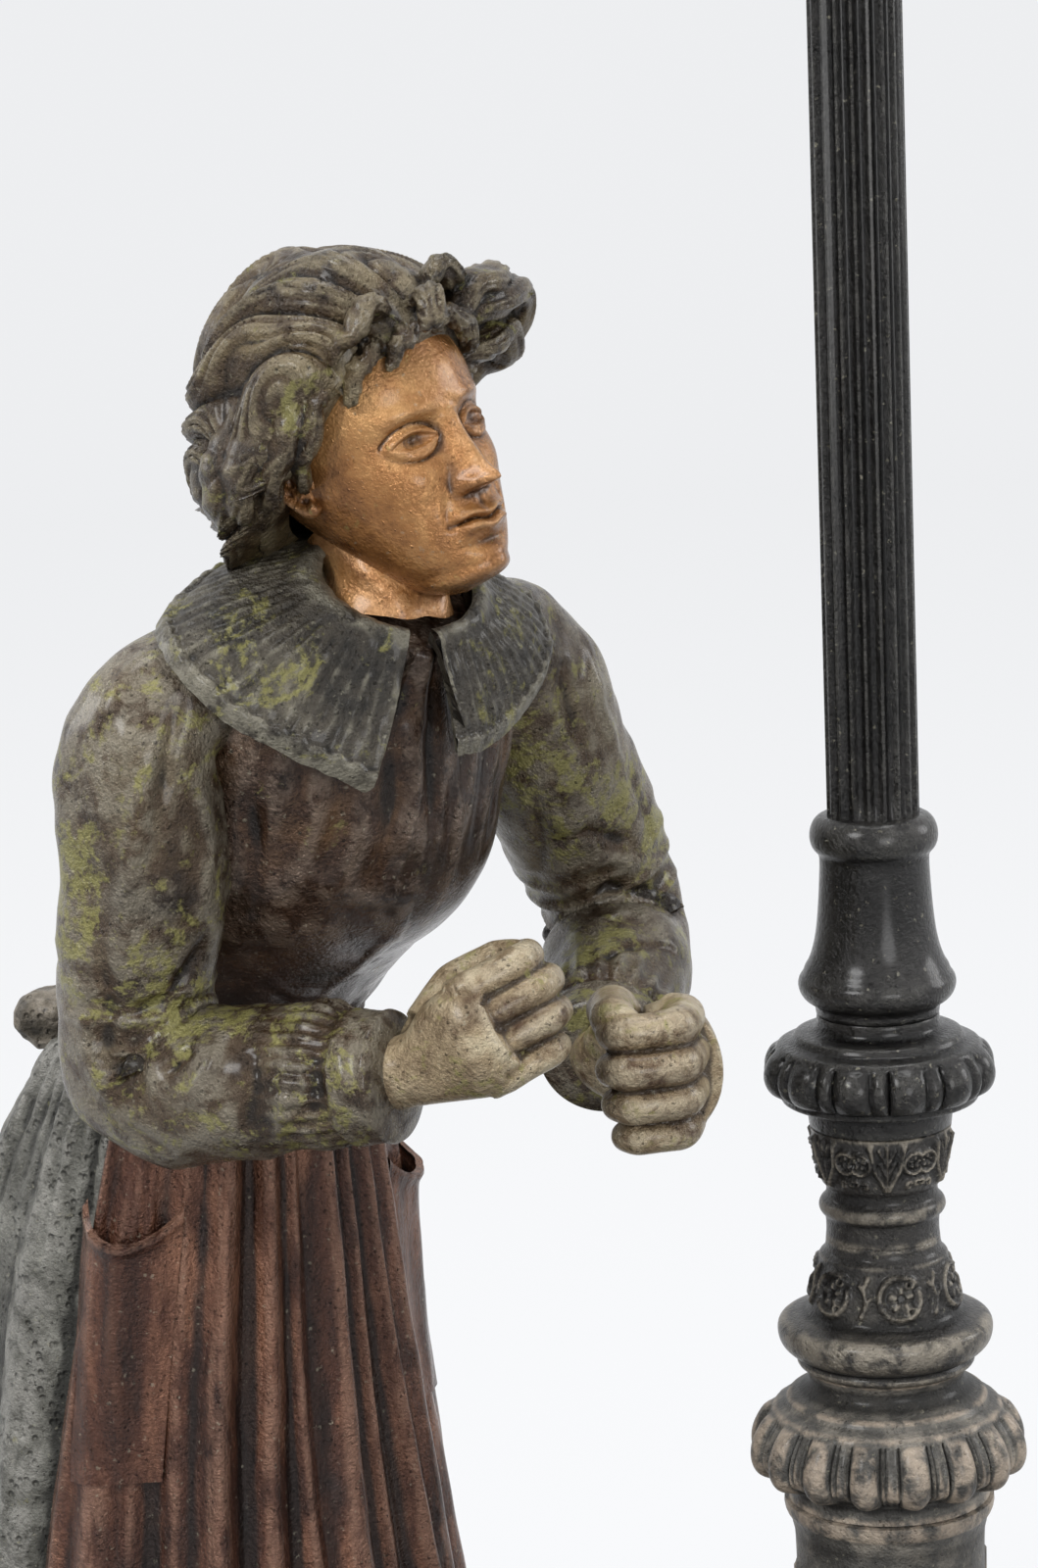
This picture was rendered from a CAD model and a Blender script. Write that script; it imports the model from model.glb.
"""Figural table lamp: the finished look of its castings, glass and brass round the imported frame.

Lengths are metres on the frame's own axes: +Z up the post, +X towards the post, -Y towards the viewer.
Outlines and stations are written in millimetres, as on a maker's drawing, and scaled by MM.
"""

import math

import bpy
import numpy as np
from mathutils import Matrix, Vector, noise
from mathutils.bvhtree import BVHTree


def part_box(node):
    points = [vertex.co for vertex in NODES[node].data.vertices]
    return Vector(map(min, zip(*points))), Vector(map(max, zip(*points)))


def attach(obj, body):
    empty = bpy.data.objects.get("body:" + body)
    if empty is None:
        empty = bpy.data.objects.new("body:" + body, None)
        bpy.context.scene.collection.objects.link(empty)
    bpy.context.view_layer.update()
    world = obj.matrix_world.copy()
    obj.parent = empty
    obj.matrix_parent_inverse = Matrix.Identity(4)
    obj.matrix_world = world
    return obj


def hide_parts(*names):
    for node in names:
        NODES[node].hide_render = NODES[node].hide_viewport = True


bl_info = {
    "name": "Figural Table Lamp",
    "version": (1, 0, 0),
    "blender": (4, 5, 0),
    "location": "View3D > Sidebar > Lamp",
    "description": "Models and finishes a cast figure beside a street-lamp post",
    "category": "Add Mesh",
}

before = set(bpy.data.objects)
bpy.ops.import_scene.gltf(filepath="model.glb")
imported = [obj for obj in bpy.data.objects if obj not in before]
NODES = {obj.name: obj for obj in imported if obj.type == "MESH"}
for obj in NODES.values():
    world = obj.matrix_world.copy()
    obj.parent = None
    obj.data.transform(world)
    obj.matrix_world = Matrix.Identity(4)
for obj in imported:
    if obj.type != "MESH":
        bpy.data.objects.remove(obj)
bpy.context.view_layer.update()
MM = 0.001

# ---------------------------------------------------------------------------------------------
# Places that the pieces share, in millimetres
# ---------------------------------------------------------------------------------------------

POST_X = (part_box("fluted_shaft")[0].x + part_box("fluted_shaft")[1].x) / 2 / MM
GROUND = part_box("base_ground")[1].z / MM
SKIRT_HEIGHT = 228.0
SEAT_GAP = 0.1
WAIST = np.array([-56.0, 16.0, GROUND + SKIRT_HEIGHT])
FACING = math.radians(38.0)
FRONT = np.array([math.sin(FACING), -math.cos(FACING), 0.0])
LEFT = np.array([math.cos(FACING), math.sin(FACING), 0.0])
UP = np.array([0.0, 0.0, 1.0])
NECK = WAIST + FRONT * 74.0 + UP * 103.0


def unit(vector):
    return np.asarray(vector, float) / np.linalg.norm(vector)


LEAN = unit(NECK - WAIST)
CHEST_FRONT = unit(FRONT - LEAN * FRONT.dot(LEAN))


def turned(vector, axis, degrees):
    """A direction turned about an axis."""
    return np.array(Matrix.Rotation(math.radians(degrees), 3, Vector(axis)) @ Vector(vector))


def head_axes(turn=7.0, lift=12.0, tilt=10.0):
    """The head's own left, front and up: turned past the chest, lifted and tilted."""
    left, level = turned(LEFT, UP, turn), turned(FRONT, UP, turn)
    front = turned(level, left, -lift)
    left = turned(left, front, tilt)
    up = -np.cross(left, front)
    return left, front, up if up[2] > 0 else -up


HEAD_LEFT, HEAD_FRONT, HEAD_UP = head_axes()
HEAD_CENTRE = NECK + UP * 30.5 - LEFT * 1.0 - FRONT * 3.0
HEAD_HEIGHT, HEAD_HALF_WIDTH, HEAD_HALF_DEPTH = 62.0, 21.5, 26.0

# ---------------------------------------------------------------------------------------------
# Camera, as the photograph was taken
# ---------------------------------------------------------------------------------------------

PHOTO_SIZE = (1059, 1600)
FOCAL_PIXELS = 4200.0
SENSOR = 36.0
CAMERA_PLACE = np.array([14.6, -873.65, 480.82])
CAMERA_PITCH, CAMERA_ROLL = math.radians(11.0), math.radians(2.3)
CAMERA_AHEAD = np.array([0.0, math.cos(CAMERA_PITCH), -math.sin(CAMERA_PITCH)])
CAMERA_LEVEL_UP = np.cross([1.0, 0.0, 0.0], CAMERA_AHEAD)
CAMERA_RIGHT = np.array([math.cos(CAMERA_ROLL), 0, 0]) - CAMERA_LEVEL_UP * math.sin(CAMERA_ROLL)
CAMERA_UP = CAMERA_LEVEL_UP * math.cos(CAMERA_ROLL) + np.array([math.sin(CAMERA_ROLL), 0, 0])


def camera_ray(across, down):
    """Direction from the camera through a place in the photograph's frame."""
    x = (across - PHOTO_SIZE[0] / 2) / FOCAL_PIXELS
    y = (down - PHOTO_SIZE[1] / 2) / FOCAL_PIXELS
    return unit(CAMERA_AHEAD + CAMERA_RIGHT * x - CAMERA_UP * y)


# ---------------------------------------------------------------------------------------------
# Selecting, editing and reading meshes
# ---------------------------------------------------------------------------------------------


MERGE_DISTANCE = 2e-6
SHARP_ANGLE = 35.0


def deselect():
    bpy.ops.object.select_all(action="DESELECT")


def focus(obj):
    deselect()
    obj.select_set(True)
    bpy.context.view_layer.objects.active = obj


class Editing:
    """Edit mode on one object with all of it selected, and object mode again afterwards."""

    def __init__(self, obj):
        self.obj = obj

    def __enter__(self):
        focus(self.obj)
        bpy.ops.object.mode_set(mode="EDIT")
        bpy.ops.mesh.select_all(action="SELECT")

    def __exit__(self, *error):
        bpy.ops.object.mode_set(mode="OBJECT")
        return False


def points_of(obj):
    """The object's points in millimetres."""
    flat = np.empty(len(obj.data.vertices) * 3)
    obj.data.vertices.foreach_get("co", flat)
    return flat.reshape(-1, 3) / MM


def set_points(obj, points):
    obj.data.vertices.foreach_set("co", (np.asarray(points, float) * MM).ravel())
    obj.data.update()


def normals_of(obj):
    flat = np.empty(len(obj.data.vertices) * 3)
    obj.data.vertex_normals.foreach_get("vector", flat)
    return flat.reshape(-1, 3)


def push_out(obj, lift):
    """Moves each point along its own normal by its own lift."""
    set_points(obj, points_of(obj) + normals_of(obj) * lift[:, None])


def neighbour_mean(obj, values, rounds):
    """Values averaged over each point's neighbours, a number of times."""
    pairs = np.empty(len(obj.data.edges) * 2, np.int64)
    obj.data.edges.foreach_get("vertices", pairs)
    a, b = pairs.reshape(-1, 2).T
    count = np.bincount(a, minlength=len(values)) + np.bincount(b, minlength=len(values))
    count = np.maximum(count, 1)
    for _ in range(rounds):
        total = np.zeros_like(values)
        for axis in range(values.shape[1]):
            column = values[:, axis]
            total[:, axis] = np.bincount(a, column[b], len(values)) + np.bincount(b, column[a], len(values))
        values = total / count[:, None]
    return values


def mark(obj, name, values):
    """Stores one number per point, for the materials to read."""
    layer = obj.data.attributes.new(name, "FLOAT", "POINT")
    layer.data.foreach_set("value", np.clip(values, 0, 1).astype(np.float32))


EDGE_ROUNDS, EDGE_DEPTH = 26, 0.5


def mark_edges(obj, rounds):
    """Marks ridges towards 1 and hollows towards 0, so that wear and dirt follow the shape."""
    points = points_of(obj)
    height = ((points - neighbour_mean(obj, points, rounds)) * normals_of(obj)).sum(1)
    depth = EDGE_DEPTH * math.sqrt(rounds / EDGE_ROUNDS)
    mark(obj, "edge", 0.5 + height / (2 * depth))


def smooth_faces(obj, angle=60.0):
    """Smooth shading, with a hard edge where two faces meet at more than an angle in degrees."""
    focus(obj)
    bpy.ops.object.shade_smooth_by_angle(angle=math.radians(angle))


def apply_modifier(obj, kind, **settings):
    focus(obj)
    modifier = obj.modifiers.new(kind.title(), kind)
    for key, value in settings.items():
        setattr(modifier, key, value)
    bpy.ops.object.modifier_apply(modifier=modifier.name)


def soften(obj, rounds, factor=0.5):
    apply_modifier(obj, "SMOOTH", iterations=rounds, factor=factor)


def remesh(obj, voxel):
    """One closed skin round everything in the mesh, in cells of a given size in millimetres."""
    focus(obj)
    obj.data.remesh_voxel_size = voxel * MM
    obj.data.remesh_voxel_adaptivity = 0.0
    bpy.ops.object.voxel_remesh()


def join(name, objects):
    """The first of some objects with the meshes of the others in it."""
    deselect()
    for obj in objects:
        obj.select_set(True)
    bpy.context.view_layer.objects.active = objects[0]
    bpy.ops.object.join()
    objects[0].name = name
    return objects[0]


def ripple(points, size, seed=0.0):
    """Smooth noise at each point, about -1 to 1; size is the length of one wave."""
    shift = Vector((seed, seed * 1.7, -seed))
    return np.array([noise.noise(Vector(p) / size + shift) for p in points]) * 1.6


# ---------------------------------------------------------------------------------------------
# Curves and surfaces
# ---------------------------------------------------------------------------------------------


def through(t, stops, values):
    """Smooth values at t that pass through the given values at the given stops."""
    stops, values = np.asarray(stops, float), np.asarray(values, float)
    flat = values.reshape(len(stops), -1)
    slopes = np.gradient(flat, stops, axis=0)
    t = np.clip(np.asarray(t, float), stops[0], stops[-1])
    k = np.clip(np.searchsorted(stops, t, side="right") - 1, 0, len(stops) - 2)
    gap = (stops[k + 1] - stops[k])[:, None]
    s = ((t - stops[k])[:, None]) / gap
    near, far = flat[k], flat[k + 1]
    out = near * (2 * s**3 - 3 * s**2 + 1) + far * (3 * s**2 - 2 * s**3)
    out = out + slopes[k] * gap * (s**3 - 2 * s**2 + s) + slopes[k + 1] * gap * (s**3 - s**2)
    return out.reshape((len(t),) + values.shape[1:])


def step(x, low, high):
    """0 below low, 1 above high and a smooth rise between them."""
    s = np.clip((np.asarray(x, float) - low) / (high - low), 0, 1)
    return s * s * (3 - 2 * s)


def bell(x, middle, spread):
    """1 at the middle, falling off smoothly to both sides."""
    return np.exp(-(((x - middle) / spread) ** 2))


def capped(v, first=0.03, last=0.03):
    """How far along a piece v is, and how open its section is near the closed ends."""
    share = np.clip((v - first) / (1 - first - last), 0, 1)
    return share, np.minimum(np.clip(v / first, 0, 1), np.clip((1 - v) / last, 0, 1))


def grid_piece(name, columns, rows, place, wrap=True):
    """A grid primitive moved to place(u, v), with its seams merged and its faces turned outwards."""
    deselect()
    bpy.ops.mesh.primitive_grid_add(x_subdivisions=columns, y_subdivisions=rows, size=2.0)
    obj = bpy.context.object
    obj.name = name
    flat = points_of(obj) * MM * 0.5 + 0.5
    set_points(obj, place(flat[:, 0], flat[:, 1]))
    with Editing(obj):
        if wrap:
            bpy.ops.mesh.remove_doubles(threshold=MERGE_DISTANCE)
        bpy.ops.mesh.normals_make_consistent(inside=False)
    return obj


def about_post(angle, radius, height):
    """Points at an angle, radius and height about the post's axis."""
    return np.column_stack([POST_X + radius * np.cos(angle), radius * np.sin(angle), height])


def spun(name, outline, turns, count):
    """A closed outline of (radius, height) swept about the post's axis."""
    outline = np.array(outline, float)
    loop = np.vstack([outline, outline[:1]])
    length = np.concatenate([[0], np.cumsum(np.linalg.norm(np.diff(loop, axis=0), axis=1))])

    def place(u, v):
        at = v * length[-1]
        radius, height = np.interp(at, length, loop[:, 0]), np.interp(at, length, loop[:, 1])
        return about_post(u * 2 * math.pi, radius, height)

    return grid_piece(name, turns, count, place)


def rounded(outline, share=0.25, rounds=2):
    """An outline with its corners cut back again and again until they are round."""
    points = [np.array(p, float) for p in outline]
    for _ in range(rounds):
        cut = []
        for a, b in zip(points, points[1:]):
            cut += [a + (b - a) * share, b - (b - a) * share]
        points = [points[0]] + cut + [points[-1]]
    return [tuple(p) for p in points]


def round_post(obj):
    """Angle, radius and height of each point about the post's axis."""
    points = points_of(obj)
    x = points[:, 0] - POST_X
    return np.arctan2(points[:, 1], x), np.hypot(x, points[:, 1]), points[:, 2]


def swell(obj, growth):
    """Moves each point away from the post's axis by its own growth."""
    angle, radius, height = round_post(obj)
    set_points(obj, about_post(angle, radius + growth, height))


def line_distance(points, path):
    """Distance of each point from a path of points, and how far along the path the nearest place is."""
    path = np.asarray(path, float)
    lengths = np.linalg.norm(np.diff(path, axis=0), axis=1)
    start = np.concatenate([[0], np.cumsum(lengths)])
    best = np.full(len(points), np.inf)
    along = np.zeros(len(points))
    for index, (a, b) in enumerate(zip(path, path[1:])):
        run = b - a
        part = np.clip(((points - a) @ run) / max(run @ run, 1e-9), 0, 1)
        gap = np.linalg.norm(points - a - part[:, None] * run, axis=1)
        nearer = gap < best
        best[nearer] = gap[nearer]
        along[nearer] = (start[index] + part * lengths[index])[nearer]
    return best, along / max(start[-1], 1e-9)


def ridge(points, path, width, height, taper=0.35):
    """Height of a rounded ridge along a path; taper is the share of its length that fades out."""
    gap, along = line_distance(points, path)
    fade = np.clip(np.minimum(along, 1 - along) / taper, 0, 1) ** 0.6
    return height * fade * bell(gap, 0, width)


def crease(obj, strokes):
    """Presses a list of strokes (path, width, height) into an object along its own normals."""
    points = points_of(obj)
    lift = np.zeros(len(points))
    for path, width, height in strokes:
        path = np.asarray(path, float)
        reach = width * 3
        low, high = path.min(0) - reach, path.max(0) + reach
        near = np.all((points > low) & (points < high), axis=1)
        lift[near] += ridge(points[near], path, width, height)
    push_out(obj, lift)


def seen_from_camera(obj, marks):
    """The places on an object that lie behind places in the photograph's frame."""
    tree = BVHTree.FromObject(obj, bpy.context.evaluated_depsgraph_get())
    found = []
    for across, down in marks:
        hit = tree.ray_cast(Vector(CAMERA_PLACE * MM), Vector(camera_ray(across, down)))[0]
        if hit is not None:
            found.append(np.array(hit) / MM)
    return found


def crease_seen(obj, strokes):
    """Strokes whose paths are given in the photograph's frame, pressed into the near side only."""
    placed = []
    for marks, width, height in strokes:
        path = seen_from_camera(obj, marks)
        if len(path) > 1:
            placed.append((path, width, height))
    crease(obj, placed)


def sections_along(path, radii, count, flatten):
    """Rows of points square to a path, each ring with its own radius."""
    path = np.asarray(path, float)
    ways = np.gradient(path, axis=0)
    ways /= np.linalg.norm(ways, axis=1)[:, None]
    side = np.cross(ways[0], UP)
    side = unit(side) if np.linalg.norm(side) > 0.1 else unit(np.cross(ways[0], (1.0, 0.2, 0.0)))
    turns = np.linspace(0, 2 * math.pi, count, endpoint=False)
    rows = []
    for place, way, radius in zip(path, ways, np.broadcast_to(radii, len(path))):
        side = unit(side - way * side.dot(way))
        other = np.cross(way, side)
        ring = np.cos(turns)[:, None] * side + flatten * np.sin(turns)[:, None] * other
        rows.append(place + radius * ring)
    return np.array(rows)


def tube(name, path, radii, count, flatten=1.0):
    """A tube along a path: a grid primitive's rows moved round the path, with pointed ends."""
    rows = sections_along(path, radii, count, flatten)
    deselect()
    bpy.ops.mesh.primitive_grid_add(x_subdivisions=count, y_subdivisions=len(rows) + 1, size=2.0)
    obj = bpy.context.object
    obj.name = name
    flat = points_of(obj) * MM * 0.5 + 0.5
    column = np.rint(flat[:, 0] * count).astype(int) % count
    row = np.rint(flat[:, 1] * (len(rows) + 1)).astype(int)
    ends = np.vstack([rows[0].mean(0), rows[-1].mean(0)])
    inner = rows[np.clip(row - 1, 0, len(rows) - 1), column]
    cap = (row == 0) | (row == len(rows) + 1)
    inner[cap] = ends[(row[cap] > 0).astype(int)]
    set_points(obj, inner)
    with Editing(obj):
        bpy.ops.mesh.remove_doubles(threshold=MERGE_DISTANCE)
        bpy.ops.mesh.normals_make_consistent(inside=False)
    return obj


def ball(name, centre, axes, radii, segments=32, rings=20):
    """A sphere primitive stretched along three directions."""
    deselect()
    bpy.ops.mesh.primitive_uv_sphere_add(segments=segments, ring_count=rings, radius=1.0)
    obj = bpy.context.object
    obj.name = name
    local = points_of(obj) * MM
    set_points(obj, np.asarray(centre) + (local * np.asarray(radii)) @ np.array(axes))
    return obj


def node_copy(name, node, bevel=0.0, segments=2):
    """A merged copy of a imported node, with its hard edges rounded, that stands in its place."""
    obj = NODES[node].copy()
    obj.data = NODES[node].data.copy()
    obj.name = name
    obj.parent = None
    for key in list(obj.keys()):
        del obj[key]
    obj.data.materials.clear()
    bpy.context.scene.collection.objects.link(obj)
    with Editing(obj):
        bpy.ops.mesh.remove_doubles(threshold=2 * MERGE_DISTANCE)
        bpy.ops.mesh.dissolve_limited(angle_limit=math.radians(1.0))
    if bevel:
        sharp = math.radians(SHARP_ANGLE)
        apply_modifier(
            obj, "BEVEL", width=bevel * MM, segments=segments, limit_method="ANGLE", angle_limit=sharp
        )
    with Editing(obj):
        bpy.ops.mesh.quads_convert_to_tris()
    smooth_faces(obj, 32.0)
    return obj


def settle(obj, material, node, body="lamp", edges=False, rounds=EDGE_ROUNDS):
    """Gives a finished piece its material, its body and the node that it stands for."""
    obj.data.materials.clear()
    obj.data.materials.append(material)
    if edges:
        mark_edges(obj, rounds)
    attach(obj, body)
    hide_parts(node)


# ---------------------------------------------------------------------------------------------
# Shader arithmetic
# ---------------------------------------------------------------------------------------------


class Wire:
    """A shader value that plain arithmetic turns into Math nodes."""

    def __init__(self, finish, socket):
        self.finish, self.socket = finish, socket

    def _math(self, operation, a, b):
        return self.finish.add("ShaderNodeMath", {"operation": operation}, {0: a, 1: b})

    def __add__(self, other):
        return self._math("ADD", self, other)

    def __sub__(self, other):
        return self._math("SUBTRACT", self, other)

    def __rsub__(self, other):
        return self._math("SUBTRACT", other, self)

    def __mul__(self, other):
        return self._math("MULTIPLY", self, other)

    __radd__ = __add__
    __rmul__ = __mul__

    def between(self, low, high):
        """0 at or below low, 1 at or above high, smooth between."""
        return self.finish.add(
            "ShaderNodeMapRange",
            {"interpolation_type": "SMOOTHSTEP"},
            {"Value": self, "From Min": low, "From Max": high, "To Min": 0.0, "To Max": 1.0},
        )

    def limited(self):
        return self.finish.add("ShaderNodeClamp", {}, {"Value": self})


class Finish:
    """A material whose nodes all come from one method."""

    def __init__(self, name):
        self.material = bpy.data.materials.new(name)
        self.material.use_nodes = True
        self.tree = self.material.node_tree
        self.tree.nodes.clear()
        self.where = self.add("ShaderNodeTexCoord", {}, {}, "Object")

    def add(self, kind, settings, sockets, outlet=0):
        """A node with its settings and a ramp's stops set first, then its sockets filled or linked."""
        node = self.tree.nodes.new(kind)
        for key, value in settings.items():
            if key == "stops":
                ramp = node.color_ramp
                while len(ramp.elements) < len(value):
                    ramp.elements.new(0.5)
                for element, (place, colour) in zip(ramp.elements, value):
                    element.position, element.color = place, (*colour, 1.0)
            else:
                setattr(node, key, value)
        for key, value in sockets.items():
            if isinstance(value, Wire):
                self.tree.links.new(value.socket, node.inputs[key])
            else:
                node.inputs[key].default_value = value
        return Wire(self, node.outputs[outlet])

    def noise(self, size, detail=3.0, roughness=0.55, warp=0.0, where=None):
        """Noise whose largest waves are about size millimetres long."""
        sockets = {"Vector": where or self.where, "Scale": 1.0 / (size * MM), "Detail": detail}
        sockets.update({"Roughness": roughness, "Distortion": warp})
        return self.add("ShaderNodeTexNoise", {}, sockets)

    def cells(self, size):
        """Distance from scattered points that lie about size millimetres apart."""
        sockets = {"Vector": self.where, "Scale": 1.0 / (size * MM)}
        return self.add("ShaderNodeTexVoronoi", {"feature": "F1"}, sockets, "Distance")

    def stored(self, name):
        return self.add("ShaderNodeAttribute", {"attribute_name": name}, {}, "Fac")

    def ramp(self, value, stops):
        return self.add("ShaderNodeValToRGB", {"stops": stops}, {"Fac": value}, "Color")

    def mix(self, share, a, b):
        settings = {"data_type": "RGBA", "blend_type": "MIX"}
        a = a if isinstance(a, Wire) else (*a, 1.0)
        b = b if isinstance(b, Wire) else (*b, 1.0)
        return self.add("ShaderNodeMix", settings, {0: share, 6: a, 7: b}, 2)

    def bump(self, height, strength, depth):
        return self.add("ShaderNodeBump", {}, {"Height": height, "Strength": strength, "Distance": depth * MM})

    def stretched(self, x, y, z):
        """The object's coordinates, stretched along its axes."""
        return self.add("ShaderNodeMapping", {}, {"Vector": self.where, "Scale": (x, y, z)})

    def done(self, **sockets):
        """Ends in a Principled shader; a linked or plain value for each named socket."""
        plain = {key.replace("_", " "): value for key, value in sockets.items()}
        if not isinstance(plain["Base Color"], Wire):
            plain["Base Color"] = (*plain["Base Color"], 1.0)
        shader = self.add("ShaderNodeBsdfPrincipled", {}, plain)
        self.surface(shader)
        return self.material

    def background_seen(self):
        """1 for rays that show the background: from the camera, off gloss and through glass."""
        kinds = ("Camera", "Glossy", "Transmission")
        camera, gloss, glass = (self.add("ShaderNodeLightPath", {}, {}, f"Is {kind} Ray") for kind in kinds)
        return (camera + gloss + glass).limited()

    def surface(self, shader, kind="ShaderNodeOutputMaterial"):
        node = self.tree.nodes.new(kind)
        self.tree.links.new(shader.socket, node.inputs["Surface"])


class Surroundings(Finish):
    """The same methods on the nodes of a world."""

    def __init__(self, world):
        self.tree = world.node_tree
        self.tree.nodes.clear()


def srgb(red, green, blue):
    """A colour as it is named on screen, 0 to 255, as the linear values that shaders use."""
    linear = []
    for part in (red, green, blue):
        share = part / 255.0
        linear.append(share / 12.92 if share <= 0.04045 else ((share + 0.055) / 1.055) ** 2.4)
    return tuple(linear)


# ---------------------------------------------------------------------------------------------
# Finishes
# ---------------------------------------------------------------------------------------------


def patina(name, deep, tone, light, bloom, gloss, grain, pits=0.0, streak=None, rub=None, metal=0.25):
    """Cold-painted casting: three tones, lichen-green bloom, rubbed ridges, dusty hollows, cast specks."""
    finish = Finish(name)
    where = finish.stretched(*streak) if streak else finish.where
    broad = finish.noise(26.0, 5.0, 0.62, 0.8, where)
    small = finish.noise(5.0, 4.0, 0.6, 0.3, where)
    fine = finish.noise(0.8, 2.0, 0.6)
    edge = finish.stored("edge")
    mottle = broad * 0.62 + small * 0.3 + fine * 0.08
    colour = finish.ramp(mottle, [(0.36, deep), (0.5, tone), (0.64, light)])
    ridge_rub = edge.between(0.58, 0.95) * small.between(0.35, 0.6)
    colour = finish.mix(ridge_rub * 0.62, colour, rub or light)
    hollow = (1.0 - edge).between(0.56, 0.95)
    colour = finish.mix(hollow * 0.85, colour, tuple(part * 0.3 for part in deep))
    growth = finish.noise(17.0, 7.0, 0.68, 1.2)
    patches = (growth + finish.noise(2.4, 3.0, 0.7) * 0.5).between(0.93 - 0.13 * bloom, 1.05 - 0.13 * bloom)
    if bloom:
        colour = finish.mix(patches * (0.45 + 0.25 * bloom), colour, srgb(128, 124, 72))
    flecks = finish.cells(2.6).between(0.26, 0.14) * fine.between(0.52, 0.6)
    colour = finish.mix(flecks * 0.35, colour, srgb(150, 146, 128))
    rough = (0.78 - gloss * 0.85) + (small - 0.5) * 0.22 + hollow * 0.1
    if bloom:
        rough = rough + patches * 0.14
    specks = finish.cells(1.5).between(0.3, 0.05) * fine.between(0.5, 0.62)
    height = finish.noise(0.9, 3.0, 0.65) * 0.9 + finish.noise(2.6, 3.0, 0.6) * 0.6 + specks * 1.2
    if pits:
        height = height - finish.cells(2.2).between(0.42, 0.1) * finish.noise(7.0).between(0.42, 0.6) * pits
    normal = finish.bump(height, grain, 0.9)
    return finish.done(
        Base_Color=colour,
        Metallic=metal,
        Roughness=rough.limited(),
        Normal=normal,
        Specular_IOR_Level=0.25,
        Coat_Weight=gloss * 0.35,
        Coat_Roughness=0.18,
    )


def clear_glass(name, colour, rough=0.02):
    """Old drawn glass with faint waves."""
    finish = Finish(name)
    waves = finish.noise(34.0, 2.0, 0.5)
    return finish.done(
        Base_Color=colour,
        Roughness=(finish.noise(6.0).between(0.55, 0.8) * 0.05 + rough).limited(),
        Transmission_Weight=1.0,
        IOR=1.46,
        Normal=finish.bump(waves, 0.25, 0.4),
    )


def bare_metal(name, bright, dull, rough=0.3):
    """Turned or stamped metal with fine brush marks and a little tarnish."""
    finish = Finish(name)
    tarnish = finish.noise(9.0, 5.0, 0.65).between(0.4, 0.68)
    brush = finish.noise(1.0, 2.0, 0.5, 0.0, finish.stretched(1.0, 1.0, 9.0))
    colour = finish.mix(tarnish, bright, dull)
    return finish.done(
        Base_Color=colour,
        Metallic=0.95,
        Roughness=(brush * 0.12 + tarnish * 0.18 + rough).limited(),
        Normal=finish.bump(brush, 0.15, 0.1),
    )


def moulded(name, light, dark, rough, grain_size, strength):
    """Porcelain, plastic or felt: two near tones and a fine grain."""
    finish = Finish(name)
    fine = finish.noise(grain_size, 3.0, 0.6)
    colour = finish.mix(finish.noise(12.0, 4.0, 0.6).between(0.38, 0.66), light, dark)
    return finish.done(
        Base_Color=colour,
        Roughness=(fine * 0.15 + rough).limited(),
        Normal=finish.bump(fine, strength, 0.25),
    )


MATERIALS = {}


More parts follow.
